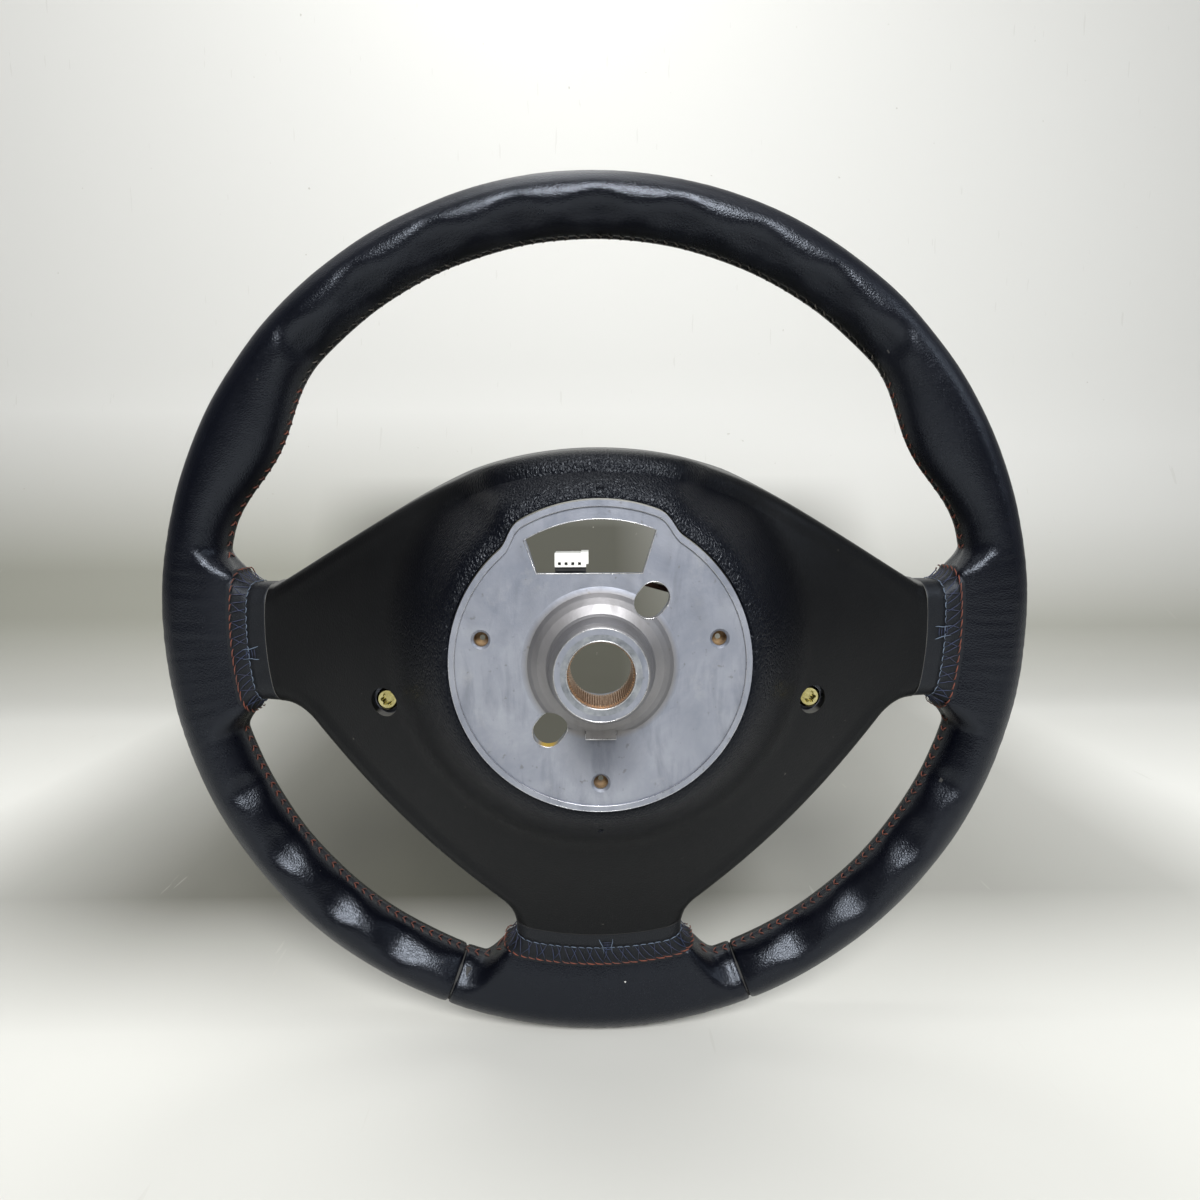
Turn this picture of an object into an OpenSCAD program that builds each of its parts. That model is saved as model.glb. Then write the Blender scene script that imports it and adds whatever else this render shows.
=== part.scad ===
// Three-spoke leather steering wheel with its airbag module taken out.
// The model is built in the wheel's own frame: x to the right and y to twelve o'clock, both seen
// from the column side, z towards the column, and z = 0 in the middle plane of the rim.
// It is then stood upright with the centre of the hub bore, at the boss face, at the origin.

/* [Rim] */
// Outer diameter over the leather
rim_d = 380; // [350:1:400]
// Radial width of the rim section
rim_w = 25.4; // [23:0.2:30]
// Depth of the rim section along the column
rim_h = 28; // [25:0.2:32]
// Thickness of the rim leather
leather_t = 1.2; // [0.8:0.1:1.6]
// How far each thumb rest swells inwards
thumb_swell = 8; // [0:0.5:10]
// Angle of each thumb rest above the horizontal
thumb_angle = 29; // [27:0.5:32]
// Depth of the finger grooves on the rear of the rim
grip_depth = 1.5; // [0:0.1:2]
// Angle from one finger groove to the next
grip_pitch = 11.5; // [10:0.1:13]
// Half the length of the lower leather piece, along the middle of the rim
lower_piece_l = 68; // [64:1:80]
// Diameter of the cast ring inside the rim
ring_d = 12; // [9:0.5:13]

/* [Hub plate] */
// Radius of the round hub plate
plate_r = 50.5; // [48:0.5:53]
// Radius of the plate where it rises above the window
lobe_r = 54.6; // [53.6:0.2:56]
// Half the angle that the raised part of the plate takes up
lobe_half = 25; // [22:0.5:28]
// Angle by which the raised part lies left of twelve o'clock
lobe_turn = 3.8; // [2:0.2:5]
// Distance of the plate's rear face behind the middle of the rim
plate_z = 86.4; // [80:0.2:92]
// Thickness of the plate
plate_t = 4.5; // [3.5:0.1:6]
// Height of the lip round the plate's edge
lip_h = 0.8; // [0.4:0.1:1.2]
// Width of the lip round the plate's edge
lip_w = 1.9; // [1.2:0.1:2.6]
// Radius at which the three slip-ring screw holes sit
hole_ring_r = 40.6; // [38:0.2:43]
// Angle of the two upper holes above the horizontal
hole_angle = 12.6; // [8:0.2:18]
// Diameter of the three screw holes
hole_d = 5; // [4:0.1:6]
// Width of the two drilling-jig slots
slot_w = 10.4; // [8:0.2:12]
// Length of the two drilling-jig slots
slot_l = 13; // [12:0.2:15]
// Radius at which the two slots sit
slot_ring_r = 27.6; // [27:0.2:30]
// Angle of the upper slot above the horizontal
slot_angle = 52; // [46:0.5:58]

/* [Boss] */
// Height of the boss face behind the plate
boss_h = 15.5; // [12:0.1:18]
// Radius of the boss face
boss_r = 15.7; // [15:0.1:17]
// Radius of the dome round the boss
dome_r = 24.4; // [22:0.2:25]
// Height of the dome where it meets the boss
dome_h = 4.6; // [3:0.1:6]
// Distance of the dome's flat below the axis
dome_flat = 21.4; // [20:0.1:22]
// Outer radius of the splined steel bush
bush_r = 13; // [12.5:0.1:13.6]
// Length of the splined steel bush
bush_l = 18; // [14:0.5:22]
// Radius over the tips of the spline teeth
spline_tip_r = 10.1; // [9.8:0.05:10.4]
// Depth of the spline teeth
spline_depth = 0.6; // [0.4:0.05:0.8]
// Number of spline teeth
spline_n = 80; // [60:1:90]
// Length of the plain lead-in at each end of the spline
lead_in = 2; // [1.5:0.1:3]

/* [Hub cover] */
// Height of the cover's top edge above the axis
cover_top = 72; // [69:0.2:74]
// Slope of the straight edges from the top curve down to the side spokes
top_slope = 28.34; // [27.4:0.02:29]
// Length of the side spokes' upper edge between the top slope and the flap
root_end = 6.8; // [6:0.2:9]
// Height of the side spokes' upper edge above the axis
spoke_up = 20.2; // [19:0.2:22]
// Distance of the side spokes' lower edge below the axis
spoke_low = 31; // [30:0.2:34]
// Half width of the lower spoke
spoke_half = 37.6; // [35:0.2:40]
// Radius of the curves at both ends of the straight edges between the spokes
web_curve_r = 24; // [20:0.5:25]
// Slope of the straight edges between the spokes
web_slope = 46.4; // [45:0.1:48]
// Distance from the flap back to where the straight edge would meet the side spoke's lower edge
web_end = 15.4; // [14:0.2:17]
// Height of the spoke surface behind the middle of the rim, at the rim
root_z = 12.5; // [11.5:0.1:13]
// Depth of the spokes in front of the middle of the rim
root_front = 9; // [8:0.2:10]
// Height of the steep shoulder round the plate
shoulder_h = 30; // [26:0.5:34]
// Width of the steep shoulder round the plate
shoulder_w = 32; // [30:0.5:36]
// Length of the level stretch of the spokes beside the rim
spoke_level = 6.1; // [3:0.1:10]
// Step from the plate's rear face down to the cover
cover_step = 1.8; // [1.2:0.1:2.4]
// Thickness of the cover over the airbag bay
cover_t = 5; // [4:0.2:5.6]
// Radius of the rounded edge along the cover
edge_r = 8; // [6:0.5:9]
// How far the side wall leans out towards the driver
skirt_flare = 4.5; // [2:0.5:6]
// Width of the wall between the bay and the outside
bay_wall = 10; // [9:0.5:12]
// Thickness of the leather flaps on the spoke roots
flap_t = 1; // [0.8:0.1:1.2]
// Length of the leather flaps on the side spokes
flap_l = 23.6; // [21.6:0.2:25.6]
// Length of the leather flap on the lower spoke
low_flap_l = 27.6; // [25.6:0.2:29]
// Radius of the corner between spoke and rim
corner_r = 12; // [10:0.5:13]

/* [Cast arms] */
// Width of each side arm
arm_w = 28; // [24:0.5:30]
// Width of the lower arm
low_arm_w = 32; // [28:0.5:36]
// Thickness of the arms' web
web_t = 4; // [3:0.2:5]
// Thickness of the arms' edge ribs
rib_t = 3; // [2.4:0.2:4]
// Depth of the arms' edge ribs
rib_h = 9; // [7:0.5:11]
// Distance of the side arms' centre line below the axis
arm_drop = 8; // [7:0.5:9]

/* [Airbag screws] */
// Distance of each screw from the middle
screw_x = 83.9; // [82:0.2:86]
// Distance of each screw below the axis
screw_y = 23; // [22:0.2:24]
// Diameter of the screw head
head_d = 9; // [8.4:0.1:9.6]
// Height of the screw head
head_h = 4; // [3.6:0.1:4.6]
// Diameter of the screw shank
shank_d = 6; // [5.4:0.1:6.4]
// Length of the screw under its head
shank_l = 33; // [31:0.5:36]
// Diameter of the well in the cover that the head sits in
well_d = 11.6; // [11:0.1:12.6]
// Depth of the head below the cover
head_sink = 4.4; // [3.6:0.1:5]
// Length of the cast screw boss
screw_boss_l = 14; // [12:0.5:15]
// Wall of the steel sleeve in the boss
sleeve_t = 1.4; // [1:0.1:1.8]
// Wall of the cast boss round the sleeve
screw_boss_t = 3.4; // [3:0.1:4]
// How far the captive screw slides back
screw_travel = 5; // [3:0.5:6]
// Thickness of the retaining ring
clip_t = 1; // [0.8:0.1:1.2]

/* [Horn contacts] */
// Distance of each horn contact from the middle
horn_x = 84; // [83:0.5:85]
// Distance of each horn contact below the axis
horn_y = 4.5; // [4.25:0.25:6]
// Diameter of the contact socket
socket_d = 14; // [12:0.5:15]
// Height of the contact socket
socket_h = 13; // [12:0.5:15]
// Diameter of the contact pin
pin_d = 6; // [5:0.2:7]
// Travel of the contact pin
pin_travel = 2; // [1.5:0.1:2.5]
// Diameter of the contact spring
spring_d = 9; // [8.6:0.1:9.8]
// Thickness of the spring wire
spring_wire = 0.8; // [0.6:0.1:1]

/* [Wiring] */
// Width of the four-way connector
plug_w = 10.3; // [9:0.1:12]
// Thickness of the four-way connector
plug_t = 4.6; // [4:0.1:5.4]
// Length of the four-way connector
plug_l = 12; // [10:0.5:14]
// Distance between the connector's contacts
plug_pitch = 2.2; // [1.8:0.1:2.4]
// Height of the connector's middle above the axis
plug_y = 35; // [34.4:0.2:36]
// Distance of the connector's middle left of the axis
plug_x = 9.8; // [8:0.2:11]
// Diameter of the sleeved lead behind the connector
lead_d = 5; // [4:0.2:5.6]
// Diameter of the lead to each horn contact
wire_d = 2.2; // [1.8:0.1:2.6]

/* [Hidden] */

fit = 0.3;
slide_fit = 0.08;
rim_a = rim_w / 2;
rim_b = rim_h / 2;
rim_c = rim_d / 2 - rim_a;
rim_in = rim_c - rim_a;
flap_r = rim_in - flap_l;
low_flap_r = rim_in - low_flap_l;
spoke_run = rim_in - plate_r - spoke_level;
lower_piece_angle = lower_piece_l / rim_c * 180 / PI;
arm_gap = cover_t + 1.2;
side_e = arm_drop + arm_w / 2;
low_e = low_arm_w / 2;
boss_z = plate_z + boss_h;
cover_z = plate_z - cover_step;
head_top = rear_z(norm([screw_x, screw_y]) - plate_r) - head_sink;
seat_z = head_top - head_h;
sleeve_r = shank_d / 2 + slide_fit;
horn_pad_r = socket_d / 2 + 1.5;
horn_z = rear_z(norm([horn_x + horn_pad_r, side_e]) - plate_r) - arm_gap - web_t;
// Angles of the finger grips, counted from twelve and from six o'clock
grip_top_first = 5.5;
grip_top_end = 50;
grip_low_first = 26.5;
grip_low_start = 21;
grip_low_end = 69;

// A smooth fall from 1 to 0 as u goes from 0 to 1
function ease(u) = 0.5 + 0.5 * cos(180 * min(max(u, 0), 1));
function mix(a, b, u) = a + (b - a) * u;
// The cover's rear surface at distance d outside the plate's edge
function rear_z(d) = root_z + (cover_z - root_z - shoulder_h) * ease(d / spoke_run)
    + shoulder_h * ease(d / shoulder_w);
// The cover's front edge at radius r: it dips forward from the bay to the rim
bay_front = 2;
dip_start = 70;
function front_z(r) = mix(bay_front, -root_front, 1 - ease((r - dip_start) / (flap_r - dip_start - 1)));
// The plate's outline: a circle with a raised lobe over the window
lobe_blend = 12;
lobe_a = 90 + lobe_turn;
function plate_edge(a) = let (off = abs(a - lobe_a) > 180 ? 360 - abs(a - lobe_a) : abs(a - lobe_a))
    plate_r + (lobe_r - plate_r) * ease((off - lobe_half) / lobe_blend);
function polar(r, a) = [r * cos(a), r * sin(a)];

// Moves the finished piece from the wheel's frame to its upright place
module upright() {
    translate([0, boss_z, 0]) rotate([90, 0, 0]) children();
}

// A closed tube of quads over a grid of points, each row a loop; the rows close on themselves
// where ring is true, and otherwise flat caps close the ends. A crossed grid has its quads
// split along their other diagonal, so that it matches the facets of a grid listed backwards
module skin_grid(rows, ring, crossed = false) {
    n = len(rows);
    m = len(rows[0]);
    last = ring ? n : n - 1;
    sides = [for (i = [0:last - 1], j = [0:m - 1]) let (
        a = i * m + j, b = i * m + (j + 1) % m,
        c = ((i + 1) % n) * m + (j + 1) % m, d = ((i + 1) % n) * m + j)
        each crossed ? [[a, b, d], [b, c, d]] : [[a, b, c], [a, c, d]]];
    half = floor(m / 2);
    caps = ring ? [] : [for (j = [0:half - 2]) let (k = m - 1 - j)
        each [[j + 1, j, k], [j + 1, k, k - 1]]];
    shift = (n - 1) * m;
    ends = [for (f = caps) [shift + f[0], shift + f[2], shift + f[1]]];
    polyhedron(points = [for (r = rows) each r], faces = concat(sides, caps, ends), convexity = 8);
}

// Rim

// How strongly a finger grip stands at angle t round the rim
function grip_wave(t, first) = 0.5 - 0.5 * cos(360 * (t - first) / grip_pitch);
function grip(t) = let (top = abs(t - 90), low = abs(t - 270))
    grip_wave(top, grip_top_first) * ease((top - grip_top_end + 4) / 4)
    + grip_wave(low, grip_low_first) * ease((low - grip_low_end + 4) / 4)
        * (1 - ease((low - grip_low_start + 3) / 3));
thumb_half = 15;
function thumb(t) = let (side = min(abs(t - thumb_angle), abs(t - 180 + thumb_angle)))
    ease(side / thumb_half);
// A point of the rim's surface at ring angle t and section angle v, moved in by s
function rim_point(t, v, s) = let (
    inward = max(0, -cos(v)),
    groove = grip_depth * grip(t) * pow(max(0, cos(v - 125)), 2),
    swell = thumb_swell * thumb(t) * inward,
    a = rim_a - s - groove, b = rim_b - s - groove,
    r = rim_c + a * cos(v) - swell)
    [r * cos(t), r * sin(t), b * sin(v)];
// The leather is an open tube: its two edges meet in the seam on the inner side
seam_half = 2;
leather_m = 11;
function seam_angle(j) = 180 + seam_half + (360 - 2 * seam_half) * j / (leather_m - 1);
function leather_row(t) = concat(
    [for (j = [0:leather_m - 1]) rim_point(t, seam_angle(j), 0)],
    [for (j = [leather_m - 1:-1:0]) rim_point(t, seam_angle(j), leather_t)]);
leather_gap = 0.1;
low_a = 270 - lower_piece_angle;
low_b = 270 + lower_piece_angle;
main_n = 84;
low_n = 12;
main_angles = [for (i = [0:main_n]) mix(low_b + leather_gap - 360, low_a - leather_gap, i / main_n)];
low_angles = [for (i = [0:low_n]) mix(low_a, low_b, i / low_n)];
function full_turn(t) = t < 0 ? t + 360 : t;

module leather_piece(angles) {
    difference() {
        skin_grid([for (t = angles) leather_row(full_turn(t))], false);
        root_cores(rim_c - 2, leather_t / 2 - flap_t);
    }
}

module rim_leather() {
    color([0.07, 0.07, 0.08]) upright() leather_piece(main_angles);
}

module rim_leather_lower() {
    color([0.075, 0.075, 0.085]) upright() leather_piece(low_angles);
}

// The foam is moulded round the cast ring, with a slit where the leather's edges are tucked in
foam_gap = 0.06;
duct_m = 8;
duct_gap = 0.2;
duct_r = (ring_d / 2 + duct_gap) / cos((180 - seam_half) / (duct_m - 1));
function duct_angle(j) = 180 + seam_half + (360 - 2 * seam_half) * j / (duct_m - 1);
function foam_row(t) = concat(
    [for (j = [0:leather_m - 1]) rim_point(t, seam_angle(j), leather_t + foam_gap)],
    [for (j = [duct_m - 1:-1:0]) let (v = duct_angle(j), r = rim_c + duct_r * cos(v))
        [r * cos(t), r * sin(t), duct_r * sin(v)]]);

module rim_foam() {
    color([0.16, 0.16, 0.16]) upright() {
        difference() {
            skin_grid([for (t = concat(main_angles, low_angles)) foam_row(full_turn(t))], true, true);
            arm_envelope(0);
        }
        difference() {
            root_cores(rim_in + core_in, -flap_t - 3 * foam_gap);
            arm_envelope(0);
        }
    }
}

// Cast armature

module ring_core(grow) {
    rotate_extrude($fn = 96) translate([rim_c, 0]) circle(d = ring_d + 2 * grow, $fn = 32);
}

// The side view of an arm: its rear face follows the cover, it runs into the ring,
// and e is how far its far edge lies from the wheel's radius
function arm_rear(r, e) = r > rim_in - 6 ? mix(root_z - arm_gap, 3, (r - rim_in + 6) / (rim_a + 6))
    : rear_z(norm([r, e]) - plate_r) - arm_gap;
arm_start = hole_ring_r + hole_d / 2 + 1.5;
arm_steps = 12;
module arm_side(depth, e) {
    rr = [for (i = [0:arm_steps]) mix(plate_r + 4, rim_c, i / arm_steps)];
    polygon(concat(
        [[arm_start, plate_z - plate_t + 0.5], [plate_r - 2, plate_z - plate_t + 0.5]],
        [for (r = rr) [r, arm_rear(r, e)]],
        [for (i = [arm_steps:-1:0]) [rr[i], arm_rear(rr[i], e) - depth]],
        [[arm_start, plate_z - plate_t - depth]]));
}

module arm_slab(depth, width, side, e) {
    translate([0, side, 0]) rotate([90, 0, 0]) translate([0, 0, -width / 2])
        linear_extrude(width) arm_side(depth, e);
}

module arm(width, e) {
    arm_slab(web_t, width, 0, e);
    for (s = [-1, 1]) arm_slab(rib_h, rib_t, s * (width - rib_t) / 2, e);
}

module arm_places() {
    for (s = [0, 1]) mirror([s, 0, 0]) translate([0, -arm_drop, 0]) children(0);
    rotate([0, 0, -90]) children(1);
}

module arm_envelope(grow) {
    arm_places() {
        translate([0, 0, grow / 2]) arm_slab(rib_h + grow, arm_w + 2 * grow, 0, side_e);
        translate([0, 0, grow / 2]) arm_slab(rib_h + grow, low_arm_w + 2 * grow, 0, low_e);
    }
}

window_r = 48.5;
window_low = 30.6;
module window_cut() {
    intersection() {
        circle(window_r, $fn = 96);
        polygon([[-21, window_low], [14, window_low], [19.6, window_r], [-26.6, window_r]]);
    }
}

module slot_cut() {
    for (s = [0, 180]) rotate(s + slot_angle) translate([slot_ring_r, 0]) {
        square([slot_l - slot_w, slot_w], center = true);
        for (e = [-1, 1]) translate([e * (slot_l - slot_w) / 2, 0]) circle(d = slot_w, $fn = 48);
    }
}

module plate_outline(inset) {
    polygon([for (a = [0:2:358]) polar(plate_edge(a) - inset, a)]);
}

function hole_places() = [polar(hole_ring_r, hole_angle), polar(hole_ring_r, 180 - hole_angle),
    polar(hole_ring_r, -90)];

// The boss and the dome it stands on, as one turned profile
module boss_profile() {
    polygon([[bush_r, plate_z - plate_t], [dome_r + 2, plate_z - plate_t], [dome_r + 2, plate_z],
        [dome_r, plate_z + 0.4], [dome_r - 1.4, plate_z + 1.8], [dome_r - 3.4, plate_z + 3.2],
        [boss_r + 2.3, plate_z + dome_h], [boss_r + 1.5, plate_z + dome_h + 1.2],
        [boss_r + 0.6, boss_z - 2], [boss_r - 0.2, boss_z - 0.5], [boss_r - 0.8, boss_z],
        [bush_r, boss_z]]);
}

tab_w = 10.2;
tab_l = 3.2;
module hub_casting() {
    difference() {
        union() {
            translate([0, 0, plate_z - plate_t]) linear_extrude(plate_t) plate_outline(0);
            translate([0, 0, plate_z]) linear_extrude(lip_h) difference() {
                plate_outline(0);
                plate_outline(lip_w);
            }
            difference() {
                rotate_extrude($fn = 96) boss_profile();
                translate([-dome_r - 5, -dome_r - 10 - dome_flat, plate_z])
                    cube([2 * dome_r + 10, dome_r + 10, boss_h * 2]);
            }
            translate([-tab_w / 2, -dome_flat - tab_l, plate_z - 1]) cube([tab_w, tab_l + 1, 3.4]);
            nut_collar();
        }
        translate([0, 0, plate_z - plate_t - 30]) cylinder(r = bush_r, h = 60 + boss_h, $fn = 96);
        translate([0, 0, plate_z - plate_t - 30]) linear_extrude(60) {
            window_cut();
            slot_cut();
        }
        for (p = hole_places()) translate([p[0], p[1], plate_z - plate_t - 12]) {
            cylinder(d = hole_d, h = 30, $fn = 48);
            translate([0, 0, plate_t + 11.2]) cylinder(d1 = hole_d, d2 = hole_d + 3, h = 1.5, $fn = 48);
        }
    }
}

// The disc of the hub casting that carries its dome, boss, collar and tab
module boss_zone() {
    translate([0, 0, plate_z - plate_t - 2 * collar_h]) cylinder(r = dome_r + 2.8, h = 4 * boss_h, $fn = 96);
}

module armature() {
    color([0.62, 0.65, 0.7]) upright() difference() {
        hub_casting();
        boss_zone();
    }
}

// The same casting's dome, boss, collar and tab, with the seat of the bush
module armature_boss() {
    color([0.62, 0.65, 0.7]) upright() intersection() {
        hub_casting();
        boss_zone();
    }
}

// The same casting's arms. They meet the plate at its front plane, and each ends with the
// stretch of ring that it carries.
zone_gap = 1;
module arm_zone() {
    arm_places() {
        translate([rim_c, 0, 0]) cube([4 * rim_a, arm_w + 2 * zone_gap, 4 * rim_b], center = true);
        translate([rim_c, 0, 0]) cube([4 * rim_a, low_arm_w + 2 * zone_gap, 4 * rim_b], center = true);
    }
}

module armature_arms() {
    color([0.62, 0.65, 0.7]) upright() difference() {
        union() {
            arm_places() {
                arm(arm_w, side_e);
                arm(low_arm_w, low_e);
            }
            intersection() {
                ring_core(0);
                arm_zone();
            }
            for (s = [-1, 1]) {
                screw_boss(s);
                horn_pad(s);
            }
        }
        translate([-rim_c, -rim_c, plate_z - plate_t]) cube([2 * rim_c, 2 * rim_c, boss_h]);
        for (s = [-1, 1]) {
            translate([s * screw_x, -screw_y, seat_z - screw_boss_l - 20])
                cylinder(r = sleeve_r + sleeve_t, h = 80, $fn = 64);
            translate([s * screw_x, -screw_y, seat_z]) cylinder(d = head_d + 1.2, h = 40, $fn = 64);
            translate([s * horn_x, -horn_y, horn_z - 20]) cylinder(d = neck_d, h = 60, $fn = 64);
            translate([s * clip_x, 0, peg_z]) rotate([90, 0, 0])
                cylinder(d = peg_d + 0.1, h = 4 * rib_t, center = true, $fn = 32);
        }
    }
}

// The same casting's ring between the arms
module armature_ring() {
    color([0.62, 0.65, 0.7]) upright() difference() {
        ring_core(0);
        arm_zone();
    }
}

// The collar on the driver's side that the column nut tightens against
collar_h = 9;
module nut_collar() {
    translate([0, 0, plate_z - plate_t - collar_h]) cylinder(r = bush_r + 5, h = collar_h + 1, $fn = 96);
}

// The flat pad under each arm that a contact socket sits on
module horn_pad(s) {
    intersection() {
        translate([s * horn_x, -horn_y, horn_z]) cylinder(r = horn_pad_r, h = 20, $fn = 64);
        mirror([s < 0 ? 1 : 0, 0, 0]) translate([0, -arm_drop, 0]) arm_slab(30, arm_w, 0, side_e);
    }
}

module screw_boss(s) {
    translate([s * screw_x, -screw_y, seat_z - screw_boss_l])
        cylinder(r = sleeve_r + sleeve_t + screw_boss_t, h = screw_boss_l, $fn = 64);
}

// Splined steel bush, cast into the boss
module spline_bush() {
    color([0.5, 0.42, 0.36]) upright() translate([0, 0, boss_z - bush_l]) difference() {
        cylinder(r = bush_r, h = bush_l, $fn = 96);
        translate([0, 0, lead_in]) linear_extrude(bush_l - 2 * lead_in) polygon([for (i = [0:spline_n - 1])
            let (p = 360 / spline_n, a = i * p, root = spline_tip_r + spline_depth)
            each [polar(spline_tip_r, a - 0.36 * p), polar(spline_tip_r, a - 0.1 * p),
                polar(root, a + 0.08 * p), polar(root, a + 0.36 * p)]]);
        for (z = [-1, bush_l - lead_in]) translate([0, 0, z])
            cylinder(r = spline_tip_r + spline_depth + 0.1, h = lead_in + 1, $fn = 96);
    }
}

// Hub cover

// Stations along the right half of the cover's outline, from the top to the foot of the lower
// spoke: each holds a point, the direction into the material and whether it lies on a spoke's end
function arc_stations(c, r, a0, a1, n, inside) = [for (i = [0:n - 1])
    let (a = mix(a0, a1, i / n)) [c + polar(r, a), polar(inside, a), 0]];
function line_stations(p, q, n, inward) = [for (i = [0:n - 1]) [mix(p, q, i / n), inward, 0]];

root_curve_r = 8;
root_drop = root_curve_r * (1 - cos(top_slope));
root_x = flap_r - root_end;
top_curve_r = (root_x - (cover_top - spoke_up - root_drop) / tan(top_slope)) / tan(top_slope / 2);
top_c = [0, cover_top - top_curve_r];
top_end = top_c + polar(top_curve_r, 90 - top_slope);
root_c = [root_x + root_curve_r * sin(top_slope), spoke_up + root_curve_r];
web_corner_x = flap_r - web_end;
web_in = polar(1, 90 + web_slope);
web_c = [web_corner_x + web_curve_r * tan(web_slope / 2), -spoke_low - web_curve_r];
web_p = web_c + web_curve_r * web_in;
foot_x = spoke_half + web_curve_r * (1 - sin(web_slope));
foot_p = [foot_x, web_p[1] - (web_p[0] - foot_x) * tan(web_slope)];
foot_c = foot_p - web_curve_r * web_in;
end_gap = 0.15;
function on_circle(r, y) = sqrt(pow(r - end_gap, 2) - y * y);
end_n = 5;
half_stations = concat(
    arc_stations(top_c, top_curve_r, 90, 90 - top_slope, 9, -1),
    line_stations(top_end, [root_x, spoke_up + root_drop], 4, polar(1, -90 - top_slope)),
    arc_stations(root_c, root_curve_r, -90 - top_slope, -90, 2, 1),
    [[[on_circle(flap_r, spoke_up), spoke_up], [0, -1], 0]],
    [for (i = [0:end_n]) let (y = mix(spoke_up - edge_r, edge_r - spoke_low, i / end_n))
        [[on_circle(flap_r, y), y], [-1, 0], 1]],
    [[[on_circle(flap_r, spoke_low), -spoke_low], [0, 1], 0]],
    arc_stations(web_c, web_curve_r, 90, 90 + web_slope, 6, 1),
    line_stations(web_p, foot_p, 5, web_in),
    arc_stations(foot_c, web_curve_r, 90 + web_slope, 180, 6, 1),
    [[[spoke_half, -on_circle(low_flap_r, spoke_half)], [-1, 0], 0]],
    [for (i = [0:2]) let (x = mix(spoke_half - edge_r, 0, i / 3))
        [[x, -on_circle(low_flap_r, x)], [0, 1], 1]]);
function mirrored(s) = [[-s[0][0], s[0][1]], [-s[1][0], s[1][1]], s[2]];
half_n = len(half_stations);
foot_station = [[0, end_gap - low_flap_r], [0, 1], 1];
stations = concat(half_stations, [foot_station],
    [for (i = [half_n - 1:-1:1]) mirrored(half_stations[i])]);

// The bay behind the airbag: as far as the wall lets it, and never further than these limits
bay_side = flap_r - 45;
bay_foot = low_flap_r - 25;
function bay_limit(a) = let (c = abs(cos(a)), s = sin(a))
    min(c > 0.01 ? bay_side / c : 1000, s < -0.01 ? bay_foot / -s : 1000);

plate_gap = 0.6;
rear_steps = [0.03, 0.1, 0.19, 0.3, 0.43, 0.58, 0.76, 1];
under_steps = [1, 0.72, 0.48, 0.28, 0.12, 0];
round_steps = [25, 50, 75];
function on_ray(q, p, u, z) = [mix(q[0], p[0], u), mix(q[1], p[1], u), z];
// One loop of the cover's section, from the plate's edge over the rear, round the side wall,
// across the front lip, and back along the underside of the shell
function cover_loop(s) = let (
    p = s[0], n = s[1], at_end = s[2] == 1,
    a = atan2(p[1], p[0]),
    q = polar(plate_edge(a < -90 ? a + 360 : a) + plate_gap, a),
    rq = norm(q),
    rho = at_end ? 0.4 : edge_r,
    e = p + rho * n,
    ze = rear_z(norm(e) - rq),
    fall = at_end ? 0.4 : min(edge_r, 0.45 * (ze + root_front)),
    zf = front_z(norm(p)),
    tall = (ze - zf) / (cover_z - 30),
    flare = at_end ? 0 : skirt_flare * max(0, min(1, (tall - 0.35) / 0.65)),
    front_round = at_end ? 0.4 : 5,
    b_r = min(norm(p) - bay_wall, bay_limit(a)),
    b = polar(max(b_r, rq + 4), a),
    zb = rear_z(norm(b) - rq) - cover_t,
    zq = cover_z - cover_t)
    concat(
        [[q[0], q[1], cover_z]],
        [for (u = rear_steps) let (x = on_ray(q, e, u, 0))
            [x[0], x[1], rear_z(norm([x[0], x[1]]) - rq)]],
        [for (w = round_steps) let (x = p + rho * (1 - sin(w)) * n) [x[0], x[1], ze - fall * (1 - cos(w))]],
        [[p[0], p[1], ze - fall]],
        [for (u = [0.5, 1]) let (x = p - flare * u * n)
            [x[0], x[1], mix(ze - fall, zf + front_round, 0.8 * u)]],
        [for (w = [90, 45, 0]) let (x = p - (flare - front_round * (1 - sin(w))) * n)
            [x[0], x[1], zf + front_round * (1 - cos(w))]],
        [[b[0], b[1], zf]],
        [for (u = under_steps) let (x = on_ray(q, b, u, 0))
            [x[0], x[1], min(u == 0 ? zq : rear_z(norm([x[0], x[1]]) - rq) - cover_t, zq)]]);

module hub_cover() {
    color([0.09, 0.09, 0.1]) upright() difference() {
        skin_grid([for (s = stations) cover_loop(s)], true);
        arm_envelope(fit);
        for (s = [-1, 1]) translate([s * screw_x, -screw_y, 0]) {
            cylinder(d = well_d, h = 90, $fn = 64);
            translate([0, 0, -20]) cylinder(r = sleeve_r + sleeve_t + screw_boss_t + fit, h = seat_z + 20 + fit, $fn = 64);
        }
    }
}

// Spoke roots: a foam core under a leather flap, both opening out in a curve towards the rim

root_m = 26;
root_steps = [0, 0.4, 0.62, 0.78, 0.9, 1];
front_edge_r = 5;
// Point j of a rounded rectangle from x0 to x1 and z0 to z1: first over the rear side from x1 to
// x0 and then back along the front side, with points between the corners that follow the curve
function round_rect(x0, x1, z0, z1, grow, j) = let (
    rear = j < root_m / 2, i = rear ? j : root_m - 1 - j,
    r = rear ? edge_r : front_edge_r,
    up = rear ? 1 : -1,
    w = i < 5 ? 22.5 * i : i < 8 ? 90 : 22.5 * (i - 4),
    cx = i < 5 ? x1 - r : i < 8 ? mix(x1 - r, x0 + r, (i - 4) / 4) : x0 + r)
    [cx + (r + grow) * cos(w), (rear ? z1 - r : z0 + r) + up * (r + grow) * sin(w)];
function root_flare(r) = let (u = max(0, r - rim_in + corner_r) * 0.97)
    corner_r - sqrt(corner_r * corner_r - u * u);
function rim_side(z) = rim_c - rim_a * sqrt(max(0.02, 1 - pow(z / rim_b, 2))) - root_gap;
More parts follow.
